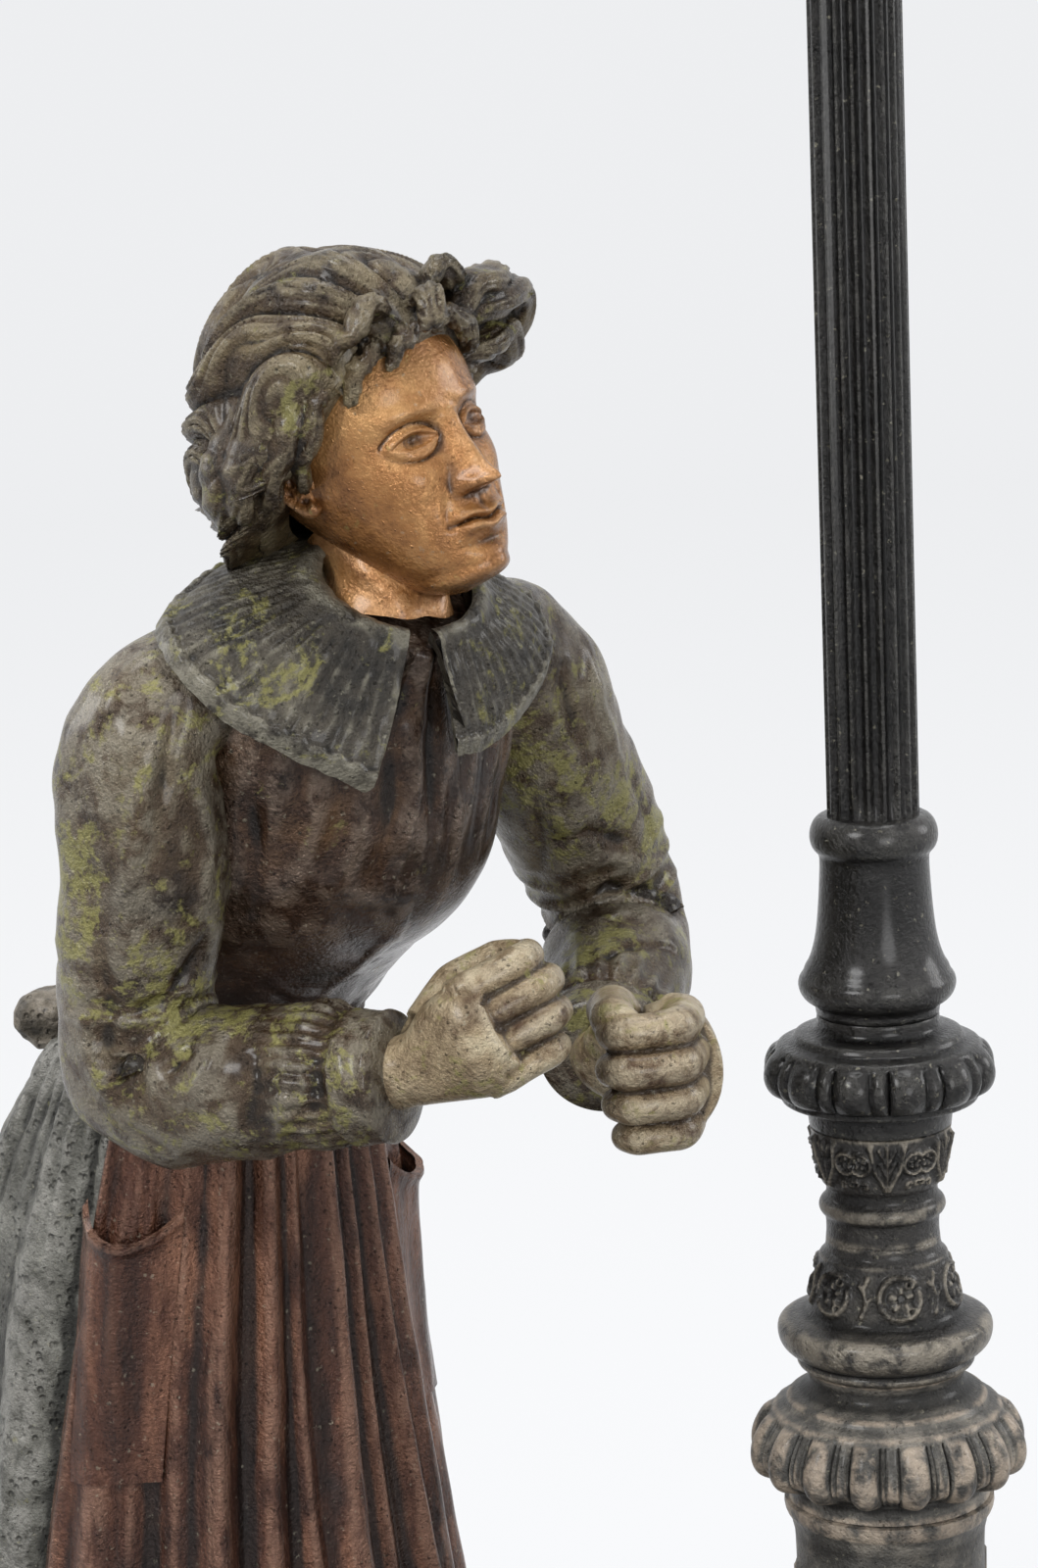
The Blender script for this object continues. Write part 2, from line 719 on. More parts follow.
def make_finishes(post, figure):
    """All finishes of the lamp, from the colours chosen in the panel."""
    iron = tuple(post.post_colour)
    dark = tuple(part * 0.35 for part in iron)
    pale = tuple(min(1.0, part * 1.9) for part in iron)
    chalk = srgb(150, 142, 128)
    MATERIALS.update(
        post_dark=patina("post_dark", dark, iron, pale, 0.0, 0.66, 0.9, rub=srgb(58, 57, 54), metal=0.5),
        post_worn=patina("post_worn", srgb(28, 27, 25), srgb(50, 48, 46), srgb(80, 77, 71), 0.0, 0.5, 0.8,
                         rub=chalk, metal=0.35),
        post_chalky=patina("post_chalky", srgb(44, 43, 41), srgb(80, 78, 74), srgb(138, 132, 122), 0.0, 0.34,
                           0.8, rub=srgb(178, 162, 144), metal=0.2),
        base=patina("base_paint", srgb(40, 38, 35), srgb(62, 60, 56), srgb(92, 89, 82), 0.25, 0.4, 0.6, 0.4),
        lantern=patina("lantern_paint", dark, iron, srgb(78, 76, 72), 0.0, 0.55, 0.4,
                       rub=srgb(96, 92, 84), metal=0.4),
        hair=patina("hair_patina", srgb(20, 13, 7), tuple(figure.hair), srgb(104, 90, 64), 0.65, 0.56, 1.0,
                    rub=srgb(124, 114, 92)),
        skin=patina("skin_patina", srgb(84, 49, 22), tuple(figure.skin), srgb(172, 130, 82), 0.45, 0.62, 0.5,
                    rub=srgb(168, 128, 88), metal=0.35),
        hands=patina("hand_patina", srgb(72, 52, 34), tuple(figure.hands), srgb(186, 174, 146), 0.9, 0.5, 1.0,
                     rub=srgb(180, 168, 144)),
        collar=patina("collar_patina", srgb(26, 23, 18), tuple(figure.collar), srgb(92, 87, 75), 0.95, 0.5, 1.0,
                      rub=srgb(126, 122, 108)),
        bodice=patina("bodice_patina", srgb(20, 11, 5), tuple(figure.bodice), srgb(90, 66, 44), 0.3, 0.72, 1.0,
                      rub=srgb(110, 96, 84), metal=0.4),
        sleeve=patina("sleeve_patina", srgb(30, 20, 11), tuple(figure.sleeve), srgb(112, 102, 83), 1.25, 0.6,
                      1.0, rub=srgb(124, 118, 104), metal=0.3),
        apron=patina("apron_patina", srgb(15, 8, 7), tuple(figure.apron), srgb(124, 86, 66), 0.0, 0.66, 1.0,
                     streak=(1.0, 1.0, 0.3), rub=srgb(122, 92, 76), metal=0.4),
        skirt=patina("skirt_patina", srgb(56, 55, 49), tuple(figure.skirt), srgb(124, 123, 116), 0.15, 0.36,
                     1.0, 1.4, rub=srgb(140, 138, 132)),
        bow=patina("bow_patina", srgb(50, 46, 39), tuple(figure.bow), srgb(122, 114, 102), 0.2, 0.3, 1.0, 1.2,
                   rub=srgb(138, 130, 118)),
        brass=bare_metal("brass", srgb(196, 158, 88), srgb(120, 88, 48), 0.22),
        steel=bare_metal("steel", srgb(150, 150, 152), srgb(88, 86, 84), 0.32),
        pane=clear_glass("pane_glass", (0.93, 0.95, 0.93)),
        bulb=clear_glass("bulb_glass", (0.98, 0.98, 0.97)),
        porcelain=moulded("porcelain", srgb(226, 222, 212), srgb(206, 200, 188), 0.18, 0.8, 0.05),
        plastic=moulded("black_plastic", srgb(26, 25, 24), srgb(14, 14, 14), 0.35, 0.6, 0.1),
        felt=moulded("felt", srgb(44, 58, 46), srgb(30, 42, 34), 0.85, 0.4, 0.8),
        filament=bare_metal("filament", srgb(96, 94, 92), srgb(70, 66, 62), 0.4),
    )


# ---------------------------------------------------------------------------------------------
# Post
# ---------------------------------------------------------------------------------------------

BORE = 5.12


def level(node):
    low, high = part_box(node)
    return low.z / MM, high.z / MM


def turned_casting(node, profile, turns, count):
    """A turned casting bored for the tube; profile holds (radius, share of its height)."""
    low, high = level(node)
    outline = rounded([(r, low + (high - low) * s) for r, s in profile])
    points = [(BORE, low)] + outline + [(BORE, high)]
    return spun(node + "_casting", points, turns, count)


def sector(angle, repeats, offset=0.0):
    """Angle from the middle of the nearest repeat, and the repeat's own share from 0 to 1."""
    share = (angle / (2 * math.pi) * repeats + offset) % 1.0
    return (share - 0.5) * 2 * math.pi / repeats, share


def relief(obj, strokes, repeats, radius, mirror=True):
    """Raised lines round a casting; each stroke is (path of (across, height), width, rise)."""
    angle, _, height = round_post(obj)
    away, _ = sector(angle, repeats)
    across = away * radius
    flat = np.column_stack([np.abs(across) if mirror else across, height])
    rise = np.zeros(len(flat))
    for path, width, lift in strokes:
        rise = np.maximum(rise, ridge(flat, path, width, lift, 0.06))
    normal = normals_of(obj)
    outward = np.hypot(normal[:, 0], normal[:, 1]) > 0.45
    push_out(obj, rise * outward)


def curl(x, y, first, last, start, end, count=26):
    """A scroll: points that turn about a centre while their radius changes."""
    turn = np.radians(np.linspace(start, end, count))
    reach = np.linspace(first, last, count)
    return np.column_stack([x + reach * np.cos(turn), y + reach * np.sin(turn)])


def make_lower_gadroon(lobes, groove):
    obj = turned_casting(
        "post_lower_gadroon",
        [(22.6, 0.0), (22.3, 0.05), (22.4, 0.13), (23.4, 0.165), (27.4, 0.185), (29.5, 0.24), (30.4, 0.34),
         (30.1, 0.45), (28.6, 0.56), (26.9, 0.635), (25.5, 0.66), (25.3, 0.685), (23.6, 0.71), (22.5, 0.73),
         (22.2, 0.775), (19.8, 0.80), (17.8, 0.845), (17.0, 0.90), (17.3, 0.95), (18.3, 1.0)],
        turns=lobes * 18, count=150,
    )
    low, high = level("post_lower_gadroon")
    angle, radius, height = round_post(obj)
    share = (height - low) / (high - low)
    _, f = sector(angle, lobes)
    band = step(share, 0.15, 0.2) * (1 - step(share, 0.62, 0.665)) * (radius > 21)
    lobe = np.clip(f / 0.6, 0, 1)
    rib = np.clip((f - 0.6) / 0.4, 0, 1)
    round_end = 1 - step(share, 0.17, 0.30)
    egg = (np.sin(np.pi * lobe) ** 0.55 * 1.5 - 1.0) * groove
    egg -= round_end * (1 - np.sin(np.pi * lobe) ** 0.8) * 2.6
    ribs = -groove * 1.15 + 1.0 * np.abs(np.sin(3 * np.pi * rib)) ** 0.8 - round_end * 2.6
    swell(obj, np.where(f < 0.6, egg * band, ribs * band))
    return obj


def make_upper_gadroon(lobes, groove):
    obj = turned_casting(
        "post_upper_gadroon",
        [(15.6, 0.0), (15.9, 0.10), (16.1, 0.20), (19.8, 0.215), (21.6, 0.235), (21.8, 0.27), (21.4, 0.29),
         (23.0, 0.31), (24.6, 0.38), (25.3, 0.47), (25.1, 0.56), (24.0, 0.65), (22.6, 0.705), (22.2, 0.735),
         (21.6, 0.75), (18.9, 0.775), (18.5, 0.83), (17.6, 0.85), (14.6, 0.865), (13.5, 0.90), (13.4, 1.0)],
        turns=lobes * 12, count=150,
    )
    low, high = level("post_upper_gadroon")
    angle, radius, height = round_post(obj)
    share = (height - low) / (high - low)
    _, f = sector(angle, lobes // 2)
    band = step(share, 0.28, 0.34) * (1 - step(share, 0.66, 0.715)) * (radius > 19)
    wide, tongue = np.clip(f / 0.68, 0, 1), np.clip((f - 0.68) / 0.32, 0, 1)
    shape = np.where(f < 0.68, np.sin(np.pi * wide) ** 0.5 * 1.3, np.sin(np.pi * tongue) ** 0.6 * 0.9)
    swell(obj, (shape * groove * 1.1 - groove) * band)
    return obj


def flower(x, y, size, petals=5):
    """Short strokes that stand round a centre."""
    lines = []
    for index in range(petals):
        turn = math.radians(90 + 360 / petals * index)
        way = np.array([math.cos(turn), math.sin(turn)])
        path = [np.array([x, y]) + way * size * share for share in (0.35, 1.0)]
        lines.append((path, size * 0.3, 0.85))
    return lines


def make_flare():
    obj = turned_casting(
        "post_scroll_flare",
        [(18.4, 0.0), (19.6, 0.02), (19.8, 0.055), (19.0, 0.075), (19.4, 0.095), (21.6, 0.13), (23.3, 0.19),
         (23.9, 0.27), (23.7, 0.335), (22.6, 0.375), (19.6, 0.40), (17.4, 0.42), (16.6, 0.46), (16.1, 0.54),
         (15.4, 0.64), (14.7, 0.75), (14.2, 0.84), (14.3, 0.87), (13.2, 0.90), (12.7, 0.94), (12.6, 1.0)],
        turns=312, count=170,
    )
    low, high = level("post_scroll_flare")
    tall = high - low
    y = low + tall * 0.65
    strokes = [
        (curl(2.2, y, 4.8, 4.3, 30, 390), 0.7, 1.25),
        (curl(4.1, y + 3.0, 1.5, 0.3, 120, -300), 0.5, 1.0),
        (curl(4.0, y - 3.0, 1.5, 0.3, 240, 660), 0.5, 1.0),
        ([(-6.4, y - 4.6), (-5.2, y - 1.2), (-6.0, y + 2.2), (-4.8, y + 5.0)], 0.6, 1.0),
        ([(-5.4, y - 1.0), (-3.9, y + 0.6)], 0.55, 0.9),
        ([(-5.8, y + 1.4), (-7.2, y + 3.2)], 0.55, 0.9),
        *flower(2.3, y - 0.1, 2.9),
    ]
    relief(obj, strokes, 6, 15.4, mirror=False)
    return obj


def make_cup():
    obj = turned_casting(
        "post_leaf_cup",
        [(12.6, 0.0), (12.4, 0.06), (12.5, 0.2), (13.5, 0.225), (14.1, 0.28), (13.6, 0.34), (12.5, 0.37),
         (12.2, 0.42), (12.3, 0.47), (13.2, 0.50), (13.6, 0.55), (13.8, 0.62), (14.3, 0.74), (15.0, 0.88),
         (15.6, 1.0)],
        turns=312, count=160,
    )
    low, high = level("post_leaf_cup")
    tall = high - low

    def at(share):
        return low + tall * share

    strokes = [
        ([(0.0, at(0.53)), (2.8, at(0.74)), (3.6, at(0.97))], 0.6, 1.2),
        ([(0.0, at(0.57)), (0.0, at(0.97))], 0.45, 0.8),
        ([(0.0, at(0.66)), (1.7, at(0.80))], 0.4, 0.7),
        ([(0.0, at(0.77)), (1.9, at(0.93))], 0.4, 0.7),
        (curl(6.0, at(0.78), 2.5, 2.2, 0, 360), 0.5, 1.1),
        *flower(6.1, at(0.79), 1.5),
        (curl(5.0, at(0.585), 0.9, 0.2, 0, 360), 0.5, 0.9),
        (curl(7.0, at(0.60), 0.8, 0.2, 0, 360), 0.5, 0.9),
    ]
    relief(obj, strokes, 6, 14.6)
    return obj


def make_bell():
    return turned_casting(
        "post_bell",
        [(13.4, 0.0), (13.6, 0.03), (13.8, 0.055), (15.6, 0.075), (16.7, 0.105), (17.3, 0.145), (17.1, 0.185),
         (16.0, 0.215), (15.9, 0.235), (14.6, 0.28), (13.4, 0.37), (12.7, 0.48), (12.2, 0.62), (11.8, 0.795),
         (12.4, 0.812), (13.4, 0.835), (14.0, 0.875), (13.9, 0.925), (13.2, 0.965), (12.2, 0.99), (11.2, 1.0)],
        turns=144, count=150,
    )


def make_drum(panel_width, panel_height, panel_frame, panel_relief):
    obj = turned_casting(
        "post_drum",
        [(23.0, 0.0), (23.0, 0.03), (22.0, 0.055), (21.0, 0.075), (20.9, 0.5), (21.0, 0.90), (21.6, 0.925),
         (22.0, 0.95), (23.0, 0.962), (23.5, 0.985), (23.3, 1.0)],
        turns=300, count=190,
    )
    low, high = level("post_drum")
    middle, half, tall = (low + high) / 2, (panel_width - panel_frame) / 2, (panel_height - panel_frame) / 2
    angle, radius, height = round_post(obj)
    away, _ = sector(angle, 4, 60.0 / 90.0 + 0.5)
    across, up = np.abs(away * 21.0), np.abs(height - middle)
    beyond = np.maximum(across - half, up - tall)
    rim = np.exp(-((np.abs(beyond) / (panel_frame * 0.52)) ** 4)) * panel_relief
    dip = step(-beyond, panel_frame * 0.5, panel_frame * 1.1) * 0.35
    inner = bell(beyond, -3.6, 0.5) * 0.35 * (beyond < -2)
    swell(obj, (rim - dip + inner) * (radius > 19))
    return obj


def make_shaft(flutes):
    low, high = level("fluted_shaft")
    profile = [(BORE, low), (9.6, low), (10.0, low + 1.2), (10.0, high - 1.2), (9.6, high), (BORE, high)]
    obj = spun("fluted_shaft_casting", profile, flutes * 12, 130)
    angle, radius, height = round_post(obj)
    _, f = sector(angle, flutes)
    cut = np.clip(1 - ((f - 0.5) / 0.36) ** 2, 0, 1) ** 0.6
    ends = step(height, low + 1.0, low + 7.5) * (1 - step(height, high - 10.0, high - 6.5))
    swell(obj, -1.25 * cut * ends * (radius > 8))
    return obj


def make_capital():
    obj = turned_casting(
        "shaft_capital",
        [(10.2, 0.0), (12.0, 0.0), (13.1, 0.04), (13.4, 0.085), (13.1, 0.13), (12.1, 0.17), (11.6, 0.22),
         (11.9, 0.32), (12.6, 0.47), (14.4, 0.62), (16.4, 0.72), (18.2, 0.765), (18.9, 0.82), (18.9, 0.89),
         (18.0, 0.94), (16.6, 1.0)],
        turns=240, count=120,
    )
    low, high = level("shaft_capital")
    tall = high - low
    leaf = [([(0.0, low + tall * 0.24), (0.0, low + tall * 0.70)], 0.6, 0.9),
            ([(3.0, low + tall * 0.24), (2.9, low + tall * 0.5), (1.2, low + tall * 0.70)], 0.5, 0.9),
            ([(0.2, low + tall * 0.36), (1.9, low + tall * 0.5)], 0.4, 0.6)]
    relief(obj, leaf, 12, 13.0)
    return obj


def finish_casting(obj, material, node):
    """Gives a casting of the post its finish and the node that it stands for."""
    smooth_faces(obj, 50.0)
    settle(obj, MATERIALS[material], node, edges=True)


# ---------------------------------------------------------------------------------------------
# Figure: skirt, apron and bow
# ---------------------------------------------------------------------------------------------


def skirt_numbers(share):
    """Centre, half width, reach in front and behind, and fold depth at each share of the height."""
    s = np.clip(share, 0.0, 1.0)
    swell_share = (1 - s) ** 0.85
    arch = np.sin(np.pi * s)
    half_w = 34.0 + 30.0 * swell_share + 3.1 * arch**1.5
    half_d = 29.0 + 32.0 * swell_share + 1.24 * arch**1.5
    behind = half_d + 17.0 * np.sqrt(np.maximum(arch, 0))
    rise = GROUND + SEAT_GAP + (SKIRT_HEIGHT - SEAT_GAP) * s
    centre = np.column_stack([np.full_like(s, WAIST[0]), np.full_like(s, WAIST[1]), rise])
    centre = centre - FRONT * (8.0 * arch + 8.0 * (1 - s))[:, None]
    return centre, half_w, half_d, behind, 2.6 * (1 - 0.75 * s)


def on_skirt(theta, share, grow):
    """Points on the skirt at angles theta (radians from the front, left positive), grown outwards."""
    centre, half_w, half_d, behind, folds = skirt_numbers(share)
    wave = folds * np.cos(12 * theta)
    reach = np.where(np.cos(theta) > 0, half_d, behind)
    side = ((half_w + wave + grow) * np.sin(theta))[:, None] * LEFT
    return centre + side + ((reach + wave + grow) * np.cos(theta))[:, None] * FRONT


def make_skirt_casting():
    def place(u, v):
        theta = u * 2 * math.pi - math.pi
        share, closing = capped(v)
        drape = np.sin(theta * 9 + 2.4 * np.sin(share * 2.6) + 0.8) * 2.2 * (1 - share) ** 0.7
        drape += np.abs(np.sin(theta * 15 + 1.1)) ** 0.6 * 1.3 * (1 - share * 0.6)
        drape += np.cos(theta * 46) * 0.5 * step(share, 0.72, 0.98)
        under_apron = 1 - step(np.abs(np.degrees(theta)), 55, 80)
        drape += 9.0 * bell(share, 0.80, 0.17) * step(np.abs(np.degrees(theta)), 75, 130)
        points = on_skirt(theta, share, (drape - 1.5) * (1 - 0.85 * under_apron))
        middle = WAIST * [1, 1, 0] + points * [0, 0, 1]
        return middle + (points - middle) * closing[:, None]

    obj = grid_piece("skirt_casting", 320, 170, place)
    smooth_faces(obj)
    points = points_of(obj)
    push_out(obj, ripple(points, 3.2, 4.0) * 0.22 + ripple(points, 9.0, 9.0) * 0.35)
    settle(obj, MATERIALS["skirt"], "figure_skirt", edges=True)


# Each fold of the apron: angle at the hem, angle at the waist, width and height
APRON_RIDGES = [
    (-84, -60, 3.0, 2.4), (-70, -50, 5.0, 2.6), (-58, -45, 3.0, 2.2), (-46, -36, 3.4, 2.8), (-31, -24, 4.0, 6.2),
    (-17, -13, 4.4, 6.6), (-6, -4, 2.2, 2.6), (8, 7, 4.4, 6.4), (20, 16, 2.8, 4.4), (31, 26, 2.6, 4.2),
    (44, 34, 4.4, 5.8), (61, 47, 4.6, 2.4), (76, 58, 4.0, 3.0),
]
APRON_HEM = 34.0
APRON_WRAP = (88.0, 63.4)
POCKET_TOP = 0.87


def apron_fold(theta, share, depth):
    """How far the apron's folds stand out; theta in degrees."""
    lift = np.zeros_like(theta)
    for low, high, width, rise in APRON_RIDGES:
        middle = low + (high - low) * share + 1.2 * np.sin(share * 7 + low)
        spread = width * (1.15 - 0.35 * share)
        lift = np.maximum(lift, rise * bell(theta, middle, spread) * (1.0 - 0.45 * share))
    gathers = np.abs(np.sin(np.radians(theta) * 24 + 0.7)) ** 0.7 * 0.9 * step(share, 0.62, 0.98)
    return lift * depth - 2.2 + gathers


def make_apron_casting(depth, pocket_height):
    low_share = APRON_HEM / SKIRT_HEIGHT

    def place(u, v):
        share = low_share + (1 - low_share) * v
        wrap = APRON_WRAP[0] + (APRON_WRAP[1] - APRON_WRAP[0]) * share
        turn = u * 2.0 % 2.0
        outer = turn <= 1.0
        theta = np.where(outer, -wrap + 2 * wrap * turn, wrap - 2 * wrap * (turn - 1.0))
        fold = apron_fold(theta, share, depth)
        rim = np.clip(1 - (wrap - np.abs(theta)) / 5.0, 0, 1)
        hem = bell(v, 0.012, 0.012) * 0.5
        grow = np.where(outer, 3.0 + fold + 0.9 * np.sin(np.pi * rim) + hem, 0.6 + np.minimum(fold, 0.8) * 0.3)
        return on_skirt(np.radians(theta), share, grow)

    obj = grid_piece("apron_casting", 460, 160, place)
    smooth_faces(obj)
    pockets = [make_pocket(middle, pocket_height, depth) for middle in (-54.0, 54.0)]
    obj = join("apron_casting", [obj] + pockets)
    push_out(obj, ripple(points_of(obj) * [1, 1, 0.35], 4.0, 2.0) * 0.16)
    settle(obj, MATERIALS["apron"], "figure_apron", edges=True, rounds=90)


def make_pocket(middle, tall, depth):
    """A patch pocket whose mouth gapes under a rolled rim."""
    top, bottom = POCKET_TOP, POCKET_TOP - tall / SKIRT_HEIGHT

    def place(u, v):
        front = v < 0.5
        rise = np.where(front, v * 2, (1 - v) * 2)
        across = u * 2 - 1
        sag = 0.035 * (1 - across**2) * rise**4
        share = bottom + (top - bottom) * rise - sag
        theta = middle + across * (12.0 + 4.5 * rise)
        bulge = (0.8 + 4.6 * rise**1.6) * (1 - 0.8 * across**2) + 1.1 * bell(rise, 0.965, 0.045)
        bulge += 0.5 * np.cos(across * 9.0) * rise * (1 - rise) * 2
        wall = np.where(front, 0.0, 1.5 * np.clip(rise * 1.6, 0, 1))
        base = 2.6 + np.maximum(apron_fold(theta, share, depth), -0.6) * 0.5
        grow = base + bulge - wall - np.where(front, 0, 2.8) * (1 - np.clip(rise * 1.6, 0, 1))
        return on_skirt(np.radians(theta), share, grow)

    obj = grid_piece(f"pocket_{'right' if middle < 0 else 'left'}", 64, 96, place)
    smooth_faces(obj)
    return obj


def make_bow_casting():
    """Knot and two gathered loops of the apron strings behind the waist."""
    centre = WAIST - FRONT * 35.0 + UP * 3.0
    parts = [ball("knot", centre, (LEFT, UP, FRONT), (7.0, 7.5, 6.5), 64, 40)]
    for side in (-1, 1):
        shares = np.linspace(0.02, 1.0, 26)
        path = [centre + LEFT * side * 30.0 * s + FRONT * 12.6 * s**1.5 - UP * 2.0 * s for s in shares]
        reach = np.interp(shares, [0, 0.15, 0.45, 0.8, 0.95, 1.0], [4.0, 6.0, 9.0, 10.8, 9.0, 6.0])
        parts.append(tube("loop", path, reach, 72, 0.56))
    obj = join("bow_casting", parts)
    remesh(obj, 0.8)
    points = points_of(obj)
    away = points - centre
    across, up = away @ LEFT, away @ UP
    fan = np.arctan2(up, np.abs(across) + 4.0)
    folds = np.sin(fan * 17.0) * 0.9 * step(np.abs(across), 5.0, 9.0)
    folds -= bell(np.abs(across), 7.0, 1.3) * 1.4
    folds += ripple(points, 2.6) * 0.4
    push_out(obj, folds)
    smooth_faces(obj)
    settle(obj, MATERIALS["bow"], "apron_bow", edges=True)


SHOE_LENGTH = 46.0
SHOE_STOPS = [0, 0.3, 0.6, 0.8, 0.93, 1.0]


def make_shoe_castings():
    """Two plain shoes whose toes show in front of the hem."""
    parts = []
    for side, forward in ((-1, 0.0), (1, 6.0)):
        heel = WAIST * [1, 1, 0] + UP * (GROUND + SEAT_GAP) + LEFT * side * 17.9 + FRONT * (32.5 + forward)

        def place(u, v):
            along, closing = capped(v, 0.02, 0.05)
            width = through(along, SHOE_STOPS, [8.4, 9.6, 12.0, 12.2, 9.4, 3.2])
            top = through(along, SHOE_STOPS, [15.0, 14.6, 11.5, 9.4, 7.6, 4.6])
            turn = u * 2 * math.pi
            x = np.sign(np.cos(turn)) * np.abs(np.cos(turn)) ** 0.8 * width
            z = np.clip(np.sin(turn), 0, 1) ** 0.85 * top
            welt = bell(z, 2.2, 0.9) * 0.8
            x = (x + np.sign(x) * welt) * closing
            low = 2.0 * (1 - closing)
            rise, ahead = z * closing + low, SHOE_LENGTH * along
            return heel + LEFT * x[:, None] + UP * rise[:, None] + FRONT * ahead[:, None]

        parts.append(grid_piece("shoe", 64, 80, place))
    obj = join("shoe_castings", parts)
    smooth_faces(obj, 50.0)
    settle(obj, MATERIALS["apron"], "figure_shoes", edges=True)


# ---------------------------------------------------------------------------------------------
# Figure: bodice, collar and sleeves
# ---------------------------------------------------------------------------------------------

BODICE_STOPS = [0.0, 0.14, 0.36, 0.54, 0.70, 0.84, 0.94, 1.0]
BODICE_ROWS = np.array(  # half width, reach in front, reach behind, forward shift
    [
        (33.0, 27.5, 27.5, 0.0), (34.5, 28.5, 28.5, 0.0), (39.7, 31.3, 29.2, 1.0), (42.0, 36.0, 29.2, 2.5),
        (39.2, 33.3, 27.9, 1.5), (38.0, 25.2, 23.8, 0.0), (26.6, 19.0, 19.0, 0.0), (18.0, 17.0, 17.0, 0.0),
    ]
)


# Folds of the bodice: path in the photograph's frame, width and height
BODICE_STROKES = [
    ([(262, 985), (300, 1035), (350, 1040), (372, 1000)], 2.0, -0.9),
    ([(240, 960), (290, 1012), (345, 1012)], 1.6, 0.8),
    ([(420, 735), (424, 800), (412, 870), (398, 930)], 1.6, 1.0),
    ([(436, 740), (442, 810), (440, 880)], 1.4, -0.9),
    ([(462, 750), (466, 820), (462, 890)], 1.7, 0.9),
    ([(404, 760), (398, 830), (380, 900)], 1.5, -0.7),
    ([(500, 760), (504, 820), (490, 880)], 1.6, -0.6),
    ([(300, 890), (370, 915), (440, 905)], 3.0, 0.9),
    ([(250, 800), (262, 870), (256, 940)], 2.2, -1.1),
    ([(350, 950), (385, 980), (400, 1030)], 1.6, -0.8),
    ([(380, 930), (410, 960), (414, 1010)], 1.5, 0.8),
]


def on_bodice(theta, share, grow):
    """Points on the bodice at angles theta from the front, from the waist at 0 to the neck at 1."""
    numbers = through(share, BODICE_STOPS, BODICE_ROWS)
    tilt = np.minimum(1.0, share / 0.36)[:, None]
    axis = UP * (1 - tilt) + LEAN * tilt
    axis /= np.linalg.norm(axis, axis=1)[:, None]
    front = FRONT - axis * (axis @ FRONT)[:, None]
    front /= np.linalg.norm(front, axis=1)[:, None]
    centre = WAIST + (NECK - WAIST) * share[:, None] + UP * (SEAT_GAP * (1 - share))[:, None]
    centre = centre + front * numbers[:, 3:4]
    reach = np.where(np.cos(theta) > 0, numbers[:, 1], numbers[:, 2]) + grow
    side = ((numbers[:, 0] + grow) * np.sin(theta))[:, None] * LEFT
    return centre + side + (reach * np.cos(theta))[:, None] * front


def make_bodice_casting():
    def place(u, v):
        theta = u * 2 * math.pi - math.pi
        share, closing = capped(v)
        degrees = np.degrees(theta)
        gathers = np.sin(np.radians(degrees) * 26 + 3 * np.sin(share * 5)) * 0.55
        gathers *= step(share, 0.55, 0.8) * (1 - step(np.abs(degrees), 40, 75))
        waist = np.sin(np.radians(degrees) * 34 + 1.0) * 0.6 * (1 - step(share, 0.04, 0.24))
        band = 1.2 * bell(share, 0.025, 0.022)
        placket = 0.7 * np.exp(-((degrees / 3.0) ** 4)) * step(share, 0.05, 0.2)
        hollow = -2.2 * bell(share, 0.3, 0.13) * bell(degrees, 0, 60.0)
        points = on_bodice(theta, share, gathers + waist + band + placket + hollow)
        middle = WAIST + (NECK - WAIST) * share[:, None]
        return middle + (points - middle) * closing[:, None]

    obj = grid_piece("bodice_casting", 300, 175, place)
    smooth_faces(obj)
    crease_seen(obj, BODICE_STROKES)
    push_out(obj, ripple(points_of(obj), 11.0, 6.0) * 0.35)
    settle(obj, MATERIALS["bodice"], "figure_bodice", edges=True, rounds=60)


def on_collar(theta, reach, lift):
    """A point of the turned-down collar: reach is 0 at the neck and 1 at the outer edge."""
    side, ahead = np.sin(theta), np.cos(theta)
    wide = np.where(side < 0, 25.0 + 8.0 * side**4, 18.0 + 8.0 * side**4)
    spread = 16.7 + wide * reach
    depth = spread * np.where(ahead > 0, 0.92, 0.80)
    droop = 13.0 * np.abs(side) + 15.0 * np.maximum(0, ahead) ** 2 + 15.0 * np.maximum(0, -ahead) ** 1.5
    along = 3.0 - droop * reach**1.6 + lift
    across = (spread * side)[:, None] * LEFT + (depth * ahead)[:, None] * CHEST_FRONT
    return NECK + along[:, None] * LEAN + across


